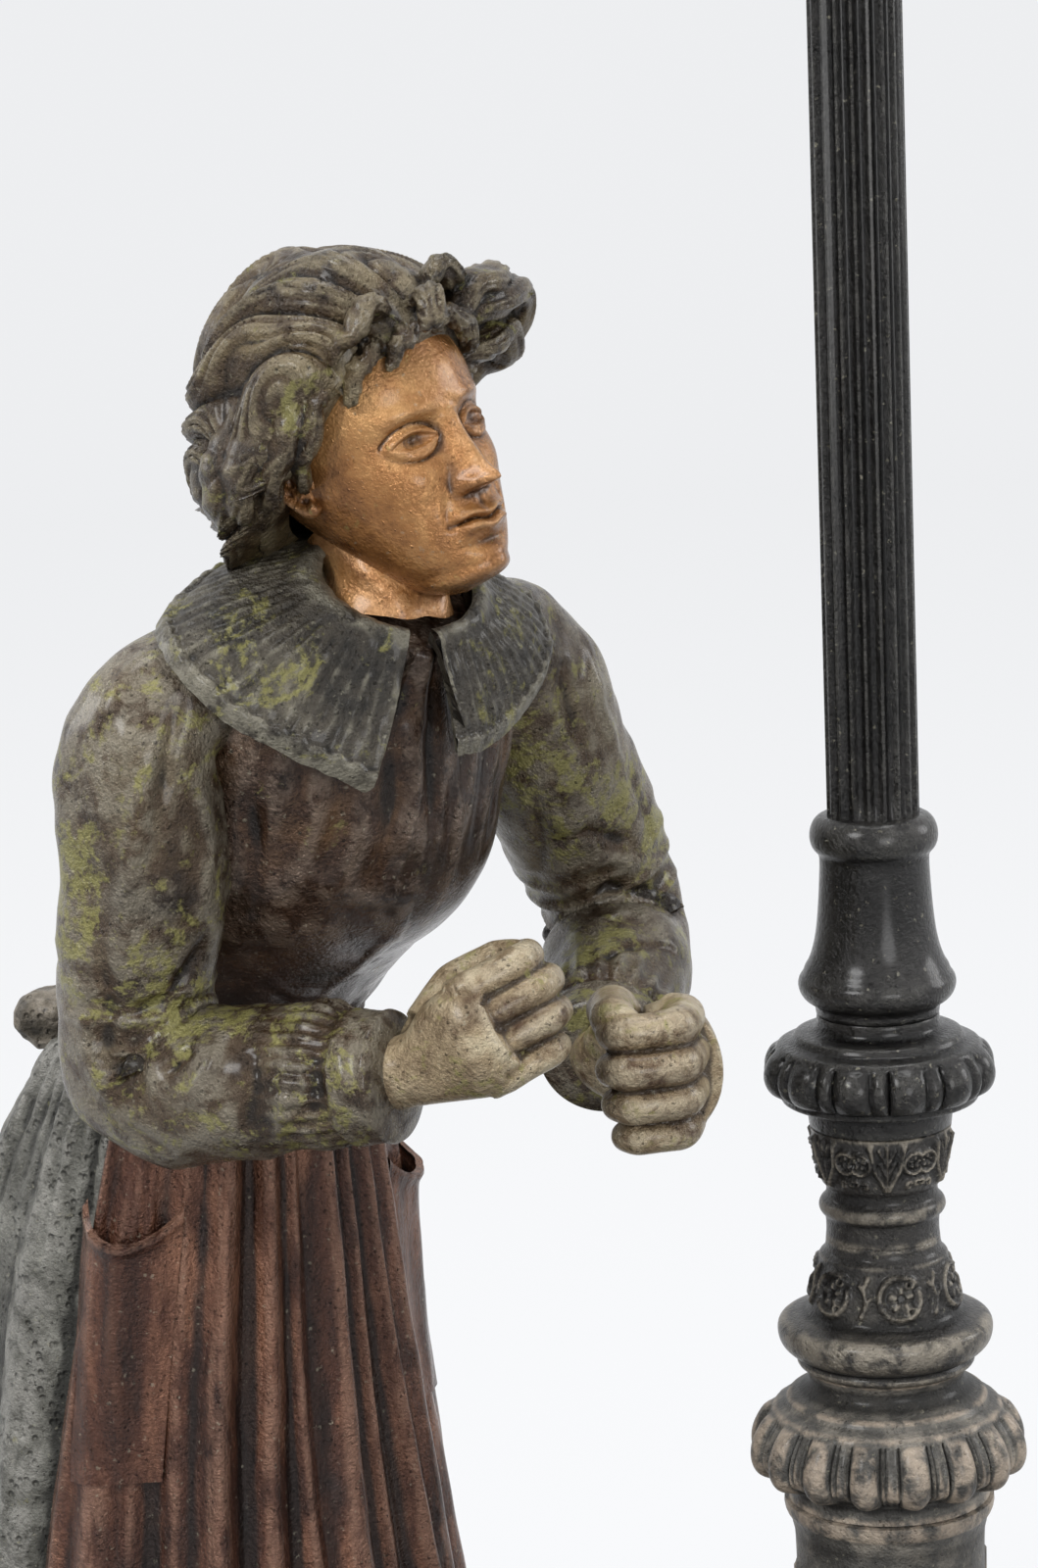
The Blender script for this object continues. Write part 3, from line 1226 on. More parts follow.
def make_collar_casting():
    opening = math.radians(9.0)

    def place(u, v):
        over = v < 0.5
        reach = np.where(over, v * 2, (1 - v) * 2)
        gap = opening * (1.0 + 0.6 * reach)
        theta = gap + (2 * math.pi - 2 * gap) * u - math.radians(13.0)
        corner = np.clip(1 - np.minimum(u, 1 - u) / 0.13, 0, 1)
        spread = reach * (1.0 + 0.07 * corner**1.5)
        roll = 2.2 * bell(reach, 0.10, 0.13)
        pleat = np.sin(theta * 62 + 0.6 * np.sin(theta * 5)) * 0.26 * step(reach, 0.12, 0.4)
        pleat += np.abs(np.sin(theta * 21 + 1.0)) ** 0.6 * 0.22 * step(reach, 0.1, 0.4)
        frill = np.sin(theta * 7 + 0.7) * 0.6 * reach**2.4 + np.sin(theta * 17) * 0.2 * reach**3
        edge = 0.7 * bell(reach, 0.965, 0.03) - 0.5 * bell(reach, 0.90, 0.02)
        thin = np.where(over, 0.0, -2.9 * (1 - 0.35 * (reach > 0.97)))
        side = np.clip(np.minimum(u, 1 - u) / 0.006, 0, 1)
        lift = np.where(over, roll + pleat + edge, roll * 0.2 + pleat * 0.3) + frill + thin * side + 1.1
        return on_collar(theta, spread, lift)

    obj = grid_piece("collar_casting", 580, 90, place)
    smooth_faces(obj)
    push_out(obj, ripple(points_of(obj), 2.4, 8.0) * 0.18)
    settle(obj, MATERIALS["collar"], "figure_collar", edges=True)


UPPER_ARM, FOREARM = 84.0, 63.0
ARMS = {  # side, upper arm, forearm and hand, each along the figure's front, left and up
    "right": (-1, (-0.11, -0.07, -0.99), (0.88, 0.44, 0.10), (0.74, 0.46, 0.46)),
    "left": (1, (-0.10, 0.47, -0.88), (0.69, -0.69, -0.22), (0.97, -0.19, 0.09)),
}


def figure_way(way):
    return unit(FRONT * way[0] + LEFT * way[1] + UP * way[2])


def arm_places(hand):
    side, upper, fore, _ = ARMS[hand]
    shoulder = NECK + LEFT * side * 43.5 - LEAN * 24.0 - CHEST_FRONT * 8.0
    elbow = shoulder + figure_way(upper) * UPPER_ARM
    return shoulder, elbow, elbow + figure_way(fore) * FOREARM


def make_sleeve_casting(hand):
    side = ARMS[hand][0]
    shoulder, elbow, wrist = arm_places(hand)
    upper, fore = elbow - shoulder, wrist - elbow
    full, cuff = 17.0, 11.5
    stations = [
        (shoulder - LEFT * 14.0 * side + LEAN * 4.0, full * 0.80), (shoulder + upper * 0.10, full * 0.98),
        (shoulder + upper * 0.45, full * 1.04), (shoulder + upper * 0.80, full),
        (elbow - upper * 0.02 + fore * 0.05, full * 0.92), (elbow + fore * 0.30, full * 0.98),
        (elbow + fore * 0.62, full * 0.86), (elbow + fore * 0.90, cuff * 1.04), (wrist, cuff),
    ]
    path = np.array([place for place, _ in stations])
    gaps = np.concatenate([[0], np.cumsum(np.linalg.norm(np.diff(path, axis=0), axis=1))])
    at = np.linspace(0, gaps[-1], 190)
    line = through(at, gaps, path)
    radii = through(at, gaps, np.array([radius for _, radius in stations]))
    share = at / gaps[-1]
    band = 1.5 * step(share, 0.925, 0.94) + 0.7 * bell(share, 0.99, 0.008)
    gather = bell(share, 0.90, 0.03) * 1.2
    bulk = radii + band + gather
    bulk[:3] *= [0.25, 0.6, 0.85]
    bulk[-3:] *= [0.96, 0.75, 0.35]
    obj = tube(f"sleeve_{hand}_casting", line, bulk, 150)
    smooth_faces(obj)
    points = points_of(obj)
    _, along = line_distance(points, line)
    beside = unit(np.cross(unit(fore), UP))
    turn = np.arctan2((points - line[-1]) @ beside, (points - line[-1]) @ UP)
    pucker = np.sin(turn * 26) * 0.5 * bell(along, 0.885, 0.04)
    lengthwise = ripple(points * [1.0, 1.0, 0.45], 15.0, side) * 1.1 + ripple(points, 7.0, side + 3) * 0.35
    lift = pucker + lengthwise * (1 - step(along, 0.9, 0.94))
    bend = bell(along, 0.57, 0.10)
    inner = (points - elbow) @ unit(fore / FOREARM - upper / UPPER_ARM)
    lift -= bend * step(inner, 4, 14) * np.abs(np.sin(along * 74)) ** 0.6 * 2.0
    push_out(obj, lift)
    smooth_faces(obj)
    crease_seen(obj, SLEEVE_STROKES[hand])
    settle(obj, MATERIALS["sleeve"], f"sleeve_{hand}", edges=True, rounds=60)


# Folds of each sleeve: path in the photograph's frame, width and height
SLEEVE_STROKES = {
    "right": [
        ([(150, 760), (142, 840), (128, 930), (120, 1000)], 2.4, 1.3),
        ([(205, 720), (232, 800), (238, 880)], 1.8, -1.4),
        ([(185, 700), (170, 780), (160, 850)], 1.8, -0.9),
        ([(200, 780), (214, 860), (205, 940)], 1.8, 1.0),
        ([(215, 950), (180, 1010), (130, 1040)], 1.8, -1.5),
        ([(225, 985), (190, 1045), (140, 1070)], 1.6, 1.3),
        ([(228, 1020), (200, 1068), (165, 1100)], 1.4, -1.4),
        ([(235, 1050), (215, 1090), (190, 1130)], 1.4, 1.1),
        ([(100, 960), (112, 1030), (105, 1090)], 2.0, -1.1),
        ([(80, 1010), (92, 1080), (118, 1140)], 2.0, 1.0),
        ([(260, 1070), (262, 1110), (250, 1160)], 1.7, -1.2),
        ([(285, 1072), (292, 1120), (282, 1170)], 1.7, 1.1),
        ([(318, 1068), (322, 1110), (315, 1155)], 1.5, -1.0),
        ([(345, 1062), (352, 1110), (345, 1155)], 1.4, 0.9),
        ([(130, 1150), (180, 1180), (240, 1188)], 2.0, -0.9),
        ([(160, 660), (120, 700), (92, 760)], 2.2, 0.8),
    ],
    "left": [
        ([(560, 620), (575, 700), (600, 780)], 2.0, -1.1),
        ([(590, 640), (612, 720), (640, 800)], 2.0, 1.0),
        ([(560, 860), (600, 850), (650, 860)], 1.6, -1.4),
        ([(570, 890), (620, 875), (675, 885)], 1.6, 1.3),
        ([(570, 925), (620, 905), (685, 915)], 1.4, -1.5),
        ([(585, 955), (630, 935), (700, 945)], 1.5, 1.2),
        ([(600, 985), (640, 965), (690, 970)], 1.4, -1.3),
        ([(640, 780), (660, 830), (668, 870)], 1.8, -0.9),
        ([(545, 800), (550, 860), (548, 910)], 1.8, -0.9),
    ],
}

# ---------------------------------------------------------------------------------------------
# Figure: head, neck, hair and hands
# ---------------------------------------------------------------------------------------------

HEAD_STOPS = [-0.03, 0.0, 0.07, 0.20, 0.36, 0.50, 0.60, 0.74, 0.88, 0.97, 1.0]
HEAD_ROWS = np.array(  # half width, reach in front, reach behind
    [
        (0.02, 0.55, -0.30), (0.30, 0.84, -0.22), (0.50, 0.94, 0.0), (0.72, 0.97, 0.32), (0.88, 0.98, 0.74),
        (0.96, 0.97, 0.98), (1.0, 0.99, 1.05), (0.96, 0.95, 1.03), (0.78, 0.74, 0.84), (0.42, 0.38, 0.44),
        (0.02, 0.02, 0.02),
    ]
)


def head_place(side, front, share):
    """Points in the head's own frame: share runs from 0 at the chin to 1 at the crown."""
    rise = HEAD_HEIGHT * (np.asarray(share, float) - 0.5)
    side, front = np.asarray(side, float), np.asarray(front, float)
    return HEAD_CENTRE + side[..., None] * HEAD_LEFT + front[..., None] * HEAD_FRONT + rise[..., None] * HEAD_UP


def in_head(local):
    """Points given as side, front and up from the head's centre."""
    return HEAD_CENTRE + local[:, :1] * HEAD_LEFT + local[:, 1:2] * HEAD_FRONT + local[:, 2:] * HEAD_UP


def face_lift(x, y):
    """How far a calm, plain face stands before an oval head, at x and y millimetres from its centre."""
    ax = np.abs(x)
    lift = 1.3 * bell(ax, 9.0, 5.5) * bell(y, 5.4, 2.0) - 0.5 * bell(x, 0, 3.0) * bell(y, 4.6, 1.6)
    lift -= 4.3 * bell(ax, 8.4, 4.6) * bell(y, 0.6, 3.7)
    eye = np.sqrt(np.clip(1 - ((ax - 8.8) / 5.2) ** 2 - (y / 3.7) ** 2, 0, 1))
    lift += 3.1 * eye
    arch = 0.55 - 1.75 * ((ax - 8.8) / 5.0) ** 2
    upper, lower = arch + 0.95, -1.15 + 1.15 * ((ax - 8.8) / 5.0) ** 2
    inside = np.abs(ax - 8.8) < 5.3
    opened = (y < upper) & (y > lower) & inside
    lift -= 0.42 * opened
    lift += 0.45 * bell(y, upper + 0.55, 0.42) * inside
    lift += 0.30 * bell(y, lower - 0.45, 0.40) * inside
    lift -= 0.50 * bell(y, upper + 1.7, 0.5) * (np.abs(ax - 9.2) < 5.4)
    iris = np.hypot(ax - 8.8, y - 0.1)
    lift -= opened * (0.16 * bell(iris, 1.75, 0.22) + 0.34 * bell(iris, 0.0, 0.55))
    slope = np.clip((4.5 - y) / 16.5, 0, 1)
    bridge = (1.5 + 5.4 * slope**1.3) * (y < 6.5)
    fall = step(y, -13.4, -11.6)
    lift += bridge * np.exp(-((ax / (1.9 + 1.6 * slope)) ** 2.2)) * fall * step(-y, -6.5, -2.0)
    lift += 1.6 * bell(x, 0, 2.6) * bell(y, -10.6, 2.0)
    lift += 1.7 * bell(ax, 3.5, 1.4) * bell(y, -11.0, 1.7) - 0.4 * bell(ax, 5.4, 0.8) * bell(y, -11.2, 2.0)
    lift -= 0.5 * bell(ax, 1.9, 0.8) * bell(y, -12.9, 0.6)
    lift += 1.3 * bell(ax, 12.0, 5.0) * bell(y, -7.5, 5.5)
    lift -= 0.5 * bell(ax - 7.8 + (y + 16) * 0.22, 0, 0.9) * bell(y, -15.5, 3.0)
    lift += 2.2 * bell(x, 0, 7.6) * bell(y, -18.6, 4.6)
    line = -18.5 - 0.35 * np.cos(ax * 0.9) + 0.012 * ax**2
    reach = 1 - step(ax, 6.0, 7.8)
    bow = 0.45 * bell(ax, 1.7, 1.2) - 0.25 * bell(x, 0, 0.8)
    lift += (1.0 + bow) * bell(y, line + 1.35, 0.85) * reach
    lift += 1.35 * bell(y, line - 1.55, 1.05) * (1 - step(ax, 4.8, 6.9))
    lift -= 1.15 * bell(y, line, 0.38) * reach + 0.7 * bell(ax, 7.6, 0.8) * bell(y, -18.4, 0.8)
    lift -= 0.45 * bell(x, 0, 0.75) * bell(y, -15.4, 1.4)
    lift -= 1.1 * bell(x, 0, 5.0) * bell(y, -23.2, 1.2)
    lift += 2.3 * bell(x, 0, 5.4) * bell(y, -27.4, 3.2)
    return lift


def make_head_casting():
    def place(u, v):
        share = -0.03 + 1.03 * v
        theta = u * 2 * math.pi - math.pi
        numbers = through(share, HEAD_STOPS, HEAD_ROWS)
        half_w = numbers[:, 0] * HEAD_HALF_WIDTH
        front, behind = numbers[:, 1] * HEAD_HALF_DEPTH, numbers[:, 2] * HEAD_HALF_DEPTH
        middle, half_d = (front - behind) / 2, (front + behind) / 2
        squareness = 0.92
        side = half_w * np.sign(np.sin(theta)) * np.abs(np.sin(theta)) ** squareness
        ahead = half_d * np.sign(np.cos(theta)) * np.abs(np.cos(theta)) ** squareness
        y = HEAD_HEIGHT * (share - 0.5)
        facing = step(np.cos(theta), 0.05, 0.45)
        return head_place(side, middle + ahead + face_lift(side, y) * facing, share)

    face = grid_piece("face", 340, 240, place)
    soften(face, 2, 0.4)
    smooth_faces(face)
    base, high = NECK - LEAN * 3.0, head_place(0.0, -5.0, 0.24)
    shares = np.linspace(0, 1, 46)
    path = [base + (high - base) * s + HEAD_FRONT * 1.2 * math.sin(math.pi * s) for s in shares]
    radii = 14.4 - 2.2 * np.sin(np.pi * np.clip(shares * 1.1, 0, 1)) + 0.3 * shares
    neck = tube("neck", path, radii, 80)
    smooth_faces(neck)
    cords = []
    for side in (-1, 1):
        low = NECK + CHEST_FRONT * 13.0 + LEFT * side * 2.2 + LEAN * 2.0
        up = head_place(side * 15.5, -3.0, 0.22)
        cord = [low + (up - low) * s + HEAD_FRONT * 4.5 * math.sin(math.pi * s) for s in (0, 0.3, 0.6, 1)]
        cords.append((cord, 2.6, 1.3))
    hollow = [NECK + CHEST_FRONT * 14.0 + LEAN * 2.0, NECK + CHEST_FRONT * 14.0 + LEAN * 6.0]
    crease(neck, cords + [(hollow, 2.4, -1.4)])
    ears = [make_ear(-1), make_ear(1)]
    obj = join("head_casting", [face, neck] + ears)
    settle(obj, MATERIALS["skin"], "figure_head", edges=True)


def make_ear(side):
    """A rounded ear: its rim, inner fold, hollow and lobe."""

    def at(front, up, out):
        return head_place(side * (19.2 + out), front, 0.5 + up / HEAD_HEIGHT)

    rim = [at(2.2, 0.5, 0.2), at(2.0, 4.5, 1.5), at(-0.8, 6.8, 2.6), at(-4.0, 5.6, 3.3), at(-5.2, 1.8, 3.4),
           at(-4.4, -2.4, 2.9), at(-2.4, -5.6, 2.0), at(0.0, -7.4, 1.2), at(1.8, -6.4, 0.6)]
    fold = [at(0.6, 2.8, 1.2), at(-1.8, 3.2, 2.2), at(-2.9, 0.8, 2.4), at(-2.4, -2.2, 2.0), at(-0.6, -4.4, 1.5)]
    stops = np.linspace(0, 1, len(rim))
    line = through(np.linspace(0, 1, 48), stops, np.array(rim))
    thick = 1.15 + 0.5 * bell(np.linspace(0, 1, 48), 0.9, 0.12)
    parts = [tube("rim", line, thick, 20)]
    inner = through(np.linspace(0, 1, 30), np.linspace(0, 1, 5), np.array(fold))
    parts.append(tube("fold", inner, 0.8, 16))
    parts.append(ball("shell", at(-1.4, -0.6, 0.0), (HEAD_LEFT, HEAD_UP, HEAD_FRONT), (2.1, 6.6, 3.9), 40, 28))
    parts.append(ball("flap", at(2.3, -1.6, 0.2), (HEAD_LEFT, HEAD_UP, HEAD_FRONT), (1.5, 2.0, 1.2), 24, 16))
    ear = join("ear", parts)
    remesh(ear, 0.5)
    soften(ear, 3)
    smooth_faces(ear)
    return ear


# The hairline from the middle of the brow round to the nape: side, front and share of the head's height
HAIR_RIM = [
    (0.0, 25.0, 0.80), (9.0, 23.5, 0.80), (16.0, 17.5, 0.74), (19.5, 9.5, 0.62), (20.5, 3.0, 0.52),
    (21.5, -2.0, 0.50), (21.5, -8.0, 0.40), (18.0, -16.0, 0.30), (10.0, -21.0, 0.24), (0.0, -22.5, 0.22),
]
HAIR_HALF_SIZE = (22.0, 27.0, 30.0)


def make_hair_casting():
    """Waved hair swept back from the brow to a small knot, with loose locks at both sides."""
    rim = np.array(HAIR_RIM)
    full = np.vstack([rim, (rim * [-1, 1, 1])[-2::-1]])
    stops = np.linspace(0, 1, len(full))
    knot = np.array([-4.0, -30.0, 0.5])

    def place(u, v):
        inner = v < 0.12
        t = np.clip((v - 0.12) / 0.88, 0, 1)
        edge = through(u, stops, full)
        start = np.column_stack([edge[:, 0], edge[:, 1], HEAD_HEIGHT * (edge[:, 2] - 0.5)])
        middle = np.array([0.0, -2.0, 2.0])
        end = np.array([knot[0], knot[1], HEAD_HEIGHT * (knot[2] - 0.5)]) - middle
        ray = start - middle
        a, b = ray / np.linalg.norm(ray, axis=1)[:, None], unit(end)
        angle = np.arccos(np.clip(a @ b, -1, 1))[:, None]
        s = (t**0.92)[:, None]
        way = (np.sin((1 - s) * angle) * a + np.sin(s * angle) * b) / np.maximum(np.sin(angle), 1e-4)
        top = np.clip(1 - np.minimum(u, 1 - u) * 4.2, 0, 1)[:, None]
        way = way + np.array([0, 0, 1.0]) * (np.sin(np.pi * s) * 0.55 * top)
        way /= np.linalg.norm(way, axis=1)[:, None]
        size = 1 / np.linalg.norm(way / HAIR_HALF_SIZE, axis=1)
        phase = u * 2 * math.pi
        wave = 0.17 * np.sin(t * 9 + np.sin(phase * 3) * 2.6 + phase) + 0.06 * np.sin(t * 21 + phase * 5)
        lock = np.abs(np.sin((phase + wave) * 7.5 + 1.5 * np.sin(phase * 2 + 1.0)))
        strand = np.abs(np.sin((phase + wave * 1.2) * 34 + 2.0 * np.sin(phase * 3)))
        fine = np.sin((phase + wave * 1.3) * 120)
        body = 1.4 + 8.0 * np.sin(np.pi * np.clip(t * 0.92 + 0.07, 0, 1)) ** 0.7
        body += 3.0 * bell(t, 0.14, 0.10)
        growth = lock**0.7 * 2.9 + strand**0.8 * 0.75 + fine * 0.14
        growth += 1.3 * np.sin(t * 13 + phase * 4 + 2 * np.sin(phase * 2))
        thick = body + (growth - 1.8) * step(t, 0.0, 0.08)
        reach = np.where(inner, size - 2.5 + 3.9 * (v / 0.12), size + thick)
        return in_head(middle + way * reach[:, None])

    cap = grid_piece("hair_casting", 530, 145, place)
    smooth_faces(cap, 70.0)
    settle(cap, MATERIALS["hair"], "figure_hair", edges=True)
    parts = make_locks()
    knot_place = head_place(-4.0, -33.0, 0.47)
    bun = ball("bun", knot_place, (HEAD_LEFT, HEAD_UP, HEAD_FRONT), (9.0, 8.0, 7.0), 90, 60)
    local = points_of(bun) - knot_place
    swirl = np.arctan2(local @ HEAD_UP, local @ HEAD_LEFT)
    coil = np.abs(np.sin(swirl * 2.5 + np.linalg.norm(local, axis=1) * 0.2 + (local @ HEAD_FRONT) * 0.75))
    set_points(bun, knot_place + local * (1 + 0.16 * coil**0.7 + 0.03 * np.sin(swirl * 40))[:, None])
    parts.append(bun)
    obj = join("hair_locks", parts)
    remesh(obj, 0.54)
    soften(obj, 1, 0.5)
    smooth_faces(obj, 180.0)
    settle(obj, MATERIALS["hair"], "figure_hair", edges=True)


# Loose locks: points as side, front and up from the head's centre, and the lock's radius
LOCKS = [
    ([(17, 15, 17), (25, 17, 20), (35, 14, 21), (43, 8, 18), (42, 2, 12), (33, 0, 9)], 5.8),
    ([(19, 12, 11), (27, 13, 13), (36, 9, 13), (40, 3, 9), (33, -2, 5)], 5.2),
    ([(19, 13, 8), (23, 11, 11), (27, 7, 12), (28, 2, 9), (25, -2, 5)], 3.0),
    ([(14, 18, 20), (20, 18, 23), (28, 17, 25), (36, 11, 24), (35, 3, 20)], 5.2),
    ([(-17, 15, 17), (-22, 13, 13), (-24, 9, 7), (-24, 5, 2), (-22, 2, -2)], 3.6),
    ([(-19, 10, 18), (-25, 8, 13), (-28, 4, 6), (-28, -1, 0), (-25, -4, -4)], 4.4),
    ([(-20, 4, 19), (-27, 2, 13), (-31, -3, 6), (-31, -8, -1), (-27, -10, -6)], 4.8),
    ([(-19, -4, 20), (-27, -6, 13), (-31, -11, 5), (-30, -15, -2), (-25, -17, -7)], 4.8),
    ([(-15, -12, 21), (-23, -14, 14), (-27, -19, 5), (-25, -22, -2), (-19, -23, -7)], 4.6),
    ([(4, 23, 20), (8, 25, 21), (11, 25, 19), (13, 23, 16)], 2.2),
    ([(-2, 24, 20), (-5, 26, 21), (-8, 26, 19), (-11, 24, 16)], 2.4),
    ([(-9, 22, 20), (-13, 22, 20), (-16, 20, 16), (-18, 17, 11)], 2.8),
    ([(9, 22, 21), (13, 23, 21), (17, 20, 17), (19, 16, 12)], 2.8),
    ([(0, 22, 24), (2, 27, 27), (0, 30, 24), (-3, 29, 20)], 3.0),
    ([(-6, 20, 26), (-10, 24, 28), (-15, 22, 25), (-18, 17, 20)], 3.6),
    ([(7, 19, 27), (12, 22, 30), (18, 19, 28), (22, 13, 23)], 3.6),
]


def make_locks():
    """Loose waved locks, each with its own strands."""
    parts = []
    for index, (marks, radius) in enumerate(LOCKS):
        stops = np.linspace(0, 1, len(marks))
        at = np.linspace(0, 1, 46)
        local = through(at, stops, np.array(marks, float))
        path = in_head(local) + np.outer(np.sin(at * 15 + index) * 0.8, HEAD_UP)
        radii = radius * (0.25 + 0.75 * np.sin(np.pi * np.clip(at * 0.86 + 0.1, 0, 1)) ** 0.7)
        lock = tube("lock", path, radii, 44, 0.62)
        _, along = line_distance(points_of(lock), path)
        normals = normals_of(lock)
        turn = np.arctan2(normals @ HEAD_UP, normals @ unit(HEAD_LEFT + HEAD_FRONT))
        groove = np.abs(np.sin(turn * 4 + along * 5 + index)) ** 0.6 * 0.75
        groove += np.sin(turn * 17 + along * 6) * 0.15
        push_out(lock, groove - 0.4)
        parts.append(lock)
    return parts


def bent(root, moves, radius, count=30):
    """A finger: a rounded path through its joints, thicker at each joint and round at its tip."""
    path = [root]
    for move in moves:
        path.append(path[-1] + move)
    stops = np.linspace(0, 1, len(path))
    at = np.linspace(0, 1, count)
    line = through(at, stops, np.array(path))
    joints = sum(bell(at, stop, 0.07) for stop in stops[1:-1])
    radii = radius * (1.02 - 0.20 * at + 0.07 * joints)
    radii[-3:] *= [0.93, 0.76, 0.42]
    return tube("finger", line, radii, 20)


# Each finger: how far its root is set back, its length and its thickness
FINGERS = ((0.6, 1.0, 1.0), (0.0, 1.06, 1.0), (0.6, 1.0, 0.97), (2.2, 0.86, 0.88))
FINGER_REACH, FINGER_RADIUS, FINGER_SPACING = 25.0, 3.55, 6.0
HAND_FIT = {"right": (1.04, 0.0), "left": (1.24, 7.0)}  # growth past the wrist, shift to the figure's left


def make_hand_casting(hand):
    """Palm, four curled fingers and a thumb, drawn into one skin with creases and tendons."""
    _, elbow, wrist = arm_places(hand)
    side, _, _, way = ARMS[hand]
    along = figure_way(way)
    width = unit(UP - along * UP.dot(along))
    face = unit(np.cross(along, width))
    if face.dot(LEFT) * side > 0:
        face = -face
    start = wrist - unit(wrist - elbow) * 5.0
    palm_end = wrist + along * 24.0
    at = np.linspace(0, 1, 40)
    places = np.array([start, wrist + along * 4, wrist + along * 13, palm_end])
    centre = through(at, [0, 0.25, 0.6, 1.0], places)
    palm = tube("palm", centre, through(at, [0, 0.2, 0.55, 0.85, 1.0], [7.8, 7.4, 10.4, 11.2, 8.5]), 48)
    points = points_of(palm)
    out = (points - wrist) @ face
    squeeze = step((points - wrist) @ along, 0, 12) * 0.36
    set_points(palm, points - np.outer(out * squeeze, face))
    parts = [palm]
    knuckles = wrist + along * 22.0
    for index, (back, size, thickness) in enumerate(FINGERS):
        root = knuckles + width * (12.0 - FINGER_SPACING * (index + 0.5)) - along * back
        first = unit(along * 0.80 + face * 0.60) * FINGER_REACH * 0.42 * size
        second = unit(along * -0.15 + face) * FINGER_REACH * 0.34 * size
        third = unit(along * -1.0 + face * 0.1) * FINGER_REACH * 0.26 * size
        parts.append(bent(root - along * 4.0, [along * 4.0, first, second, third], FINGER_RADIUS * thickness))
    thumb_root = wrist + along * 8.0 + width * 7.0 + face * 3.0
    moves = [unit(along * 0.6 + face * 0.6 + width * 0.35) * 10.0, unit(along * 0.85 + face * 0.45) * 9.5,
             unit(along * 0.8 - width * 0.25) * 6.0]
    parts.append(bent(thumb_root, moves, 4.1))
    heel = wrist + along * 9.0 + face * 3.5 + width * 4.0
    parts.append(ball("heel", heel, (along, width, face), (8.0, 6.0, 4.5)))
    obj = join(f"hand_{hand}_casting", parts)
    grow, aside = HAND_FIT[hand]
    away = points_of(obj) - wrist
    share = step(away @ along, -2.0, 16.0)[:, None]
    set_points(obj, wrist + away * (1 + (grow - 1) * share) + LEFT * (aside * share))
    remesh(obj, 0.55)
    soften(obj, 4)
    smooth_faces(obj, 70.0)
    marks = []
    for index in range(len(FINGERS)):
        root = knuckles + width * (12.0 - FINGER_SPACING * (index + 0.5)) - face * 3.4
        marks.append(([root - width * 1.6, root + width * 1.6], 0.7, -0.5))
        tendon = [root, root - along * 12.0 - width * (1.6 - index) * 1.2]
        marks.append((tendon, 1.1, 0.55))
        if index:
            gap = root + width * 3.0
            marks.append(([gap, gap + along * 6.0], 0.8, -0.7))
    crease(obj, marks)
    settle(obj, MATERIALS["hands"], f"hand_{hand}", edges=True)


# ---------------------------------------------------------------------------------------------
# Base and lantern
# ---------------------------------------------------------------------------------------------

CAST_NODES = {  # node: width of its rounded edges
    "post_plinth": 0.8, "lantern_seat": 0.4, "lantern_floor": 0.35, "lantern_corner_bars": 0.4,
    "lantern_top_rail": 0.4, "lantern_roof": 0.5, "roof_vent_collar": 0.3, "roof_cap": 0.4, "roof_finial": 0.3,
}
PLAIN_NODES = {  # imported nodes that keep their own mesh, and their finish
    "base_cover": "felt", "inlet_bush": "plastic", "figure_screws": "steel", "stem_tube": "steel",
    "stem_washer": "steel", "stem_nut": "steel", "lantern_nut": "steel", "contact_sleeve": "brass",
    "centre_contact": "brass", "bulb_filament": "filament", "pane_right": "pane", "pane_back": "pane",
    "pane_left": "pane", "door_pane": "pane",
}
STONE_LENGTH, STONE_WIDTH = 34.0, 21.0


def paving(obj, top):
    """Sunk joints between the paving stones on the base, and a worn crown on each stone."""
    points = points_of(obj)
    x, y, z = points.T
    row = np.floor(y / STONE_WIDTH)
    across = (x + row * STONE_LENGTH / 2) % STONE_LENGTH
    down = y % STONE_WIDTH
    gap = np.minimum(np.minimum(across, STONE_LENGTH - across), np.minimum(down, STONE_WIDTH - down))
    on_top = z > top - 0.05
    edge = np.minimum(np.minimum(x.max() - x, x - x.min()), np.minimum(y.max() - y, y - y.min()))
    sunk = (1 - step(gap, 0.4, 1.4)) * 1.1 - np.minimum(ripple(points, 14.0), 1) * 0.25
    points[:, 2] = z - np.where(on_top, sunk * step(edge, 4.0, 6.0) + 0.15, 0)
    set_points(obj, points)


def make_base():
    casting = node_copy("base_foot_casting", "base_casting", bevel=0.9, segments=3)
    settle(casting, MATERIALS["base"], "base_casting", edges=True)
    ground = node_copy("base_ground_casting", "base_ground")
    with Editing(ground):
        bpy.ops.mesh.select_all(action="DESELECT")
    top = GROUND
    ground_points = points_of(ground)
    focus(ground)
    for polygon in ground.data.polygons:
        polygon.select = all(abs(ground_points[i][2] - top) < 0.02 for i in polygon.vertices)
    bpy.ops.object.mode_set(mode="EDIT")
    bpy.ops.mesh.inset(thickness=2.5 * MM, depth=0)
    bpy.ops.mesh.delete(type="FACE")
    bpy.ops.object.mode_set(mode="OBJECT")

    rim = ground_points[np.abs(ground_points[:, 2] - top) < 0.02]
    low, high = rim.min(0), rim.max(0)
    centre, half = (low + high) / 2, (high - low) / 2
    stones = grid_piece("stones", 280, 190, lambda u, v: paved_top(u, v, centre, half, top), wrap=False)
    smooth_faces(stones, 40.0)
    paving(stones, top)
    obj = join("base_ground_casting", [ground, stones])
    smooth_faces(obj, 40.0)
    settle(obj, MATERIALS["base"], "base_ground", edges=True)


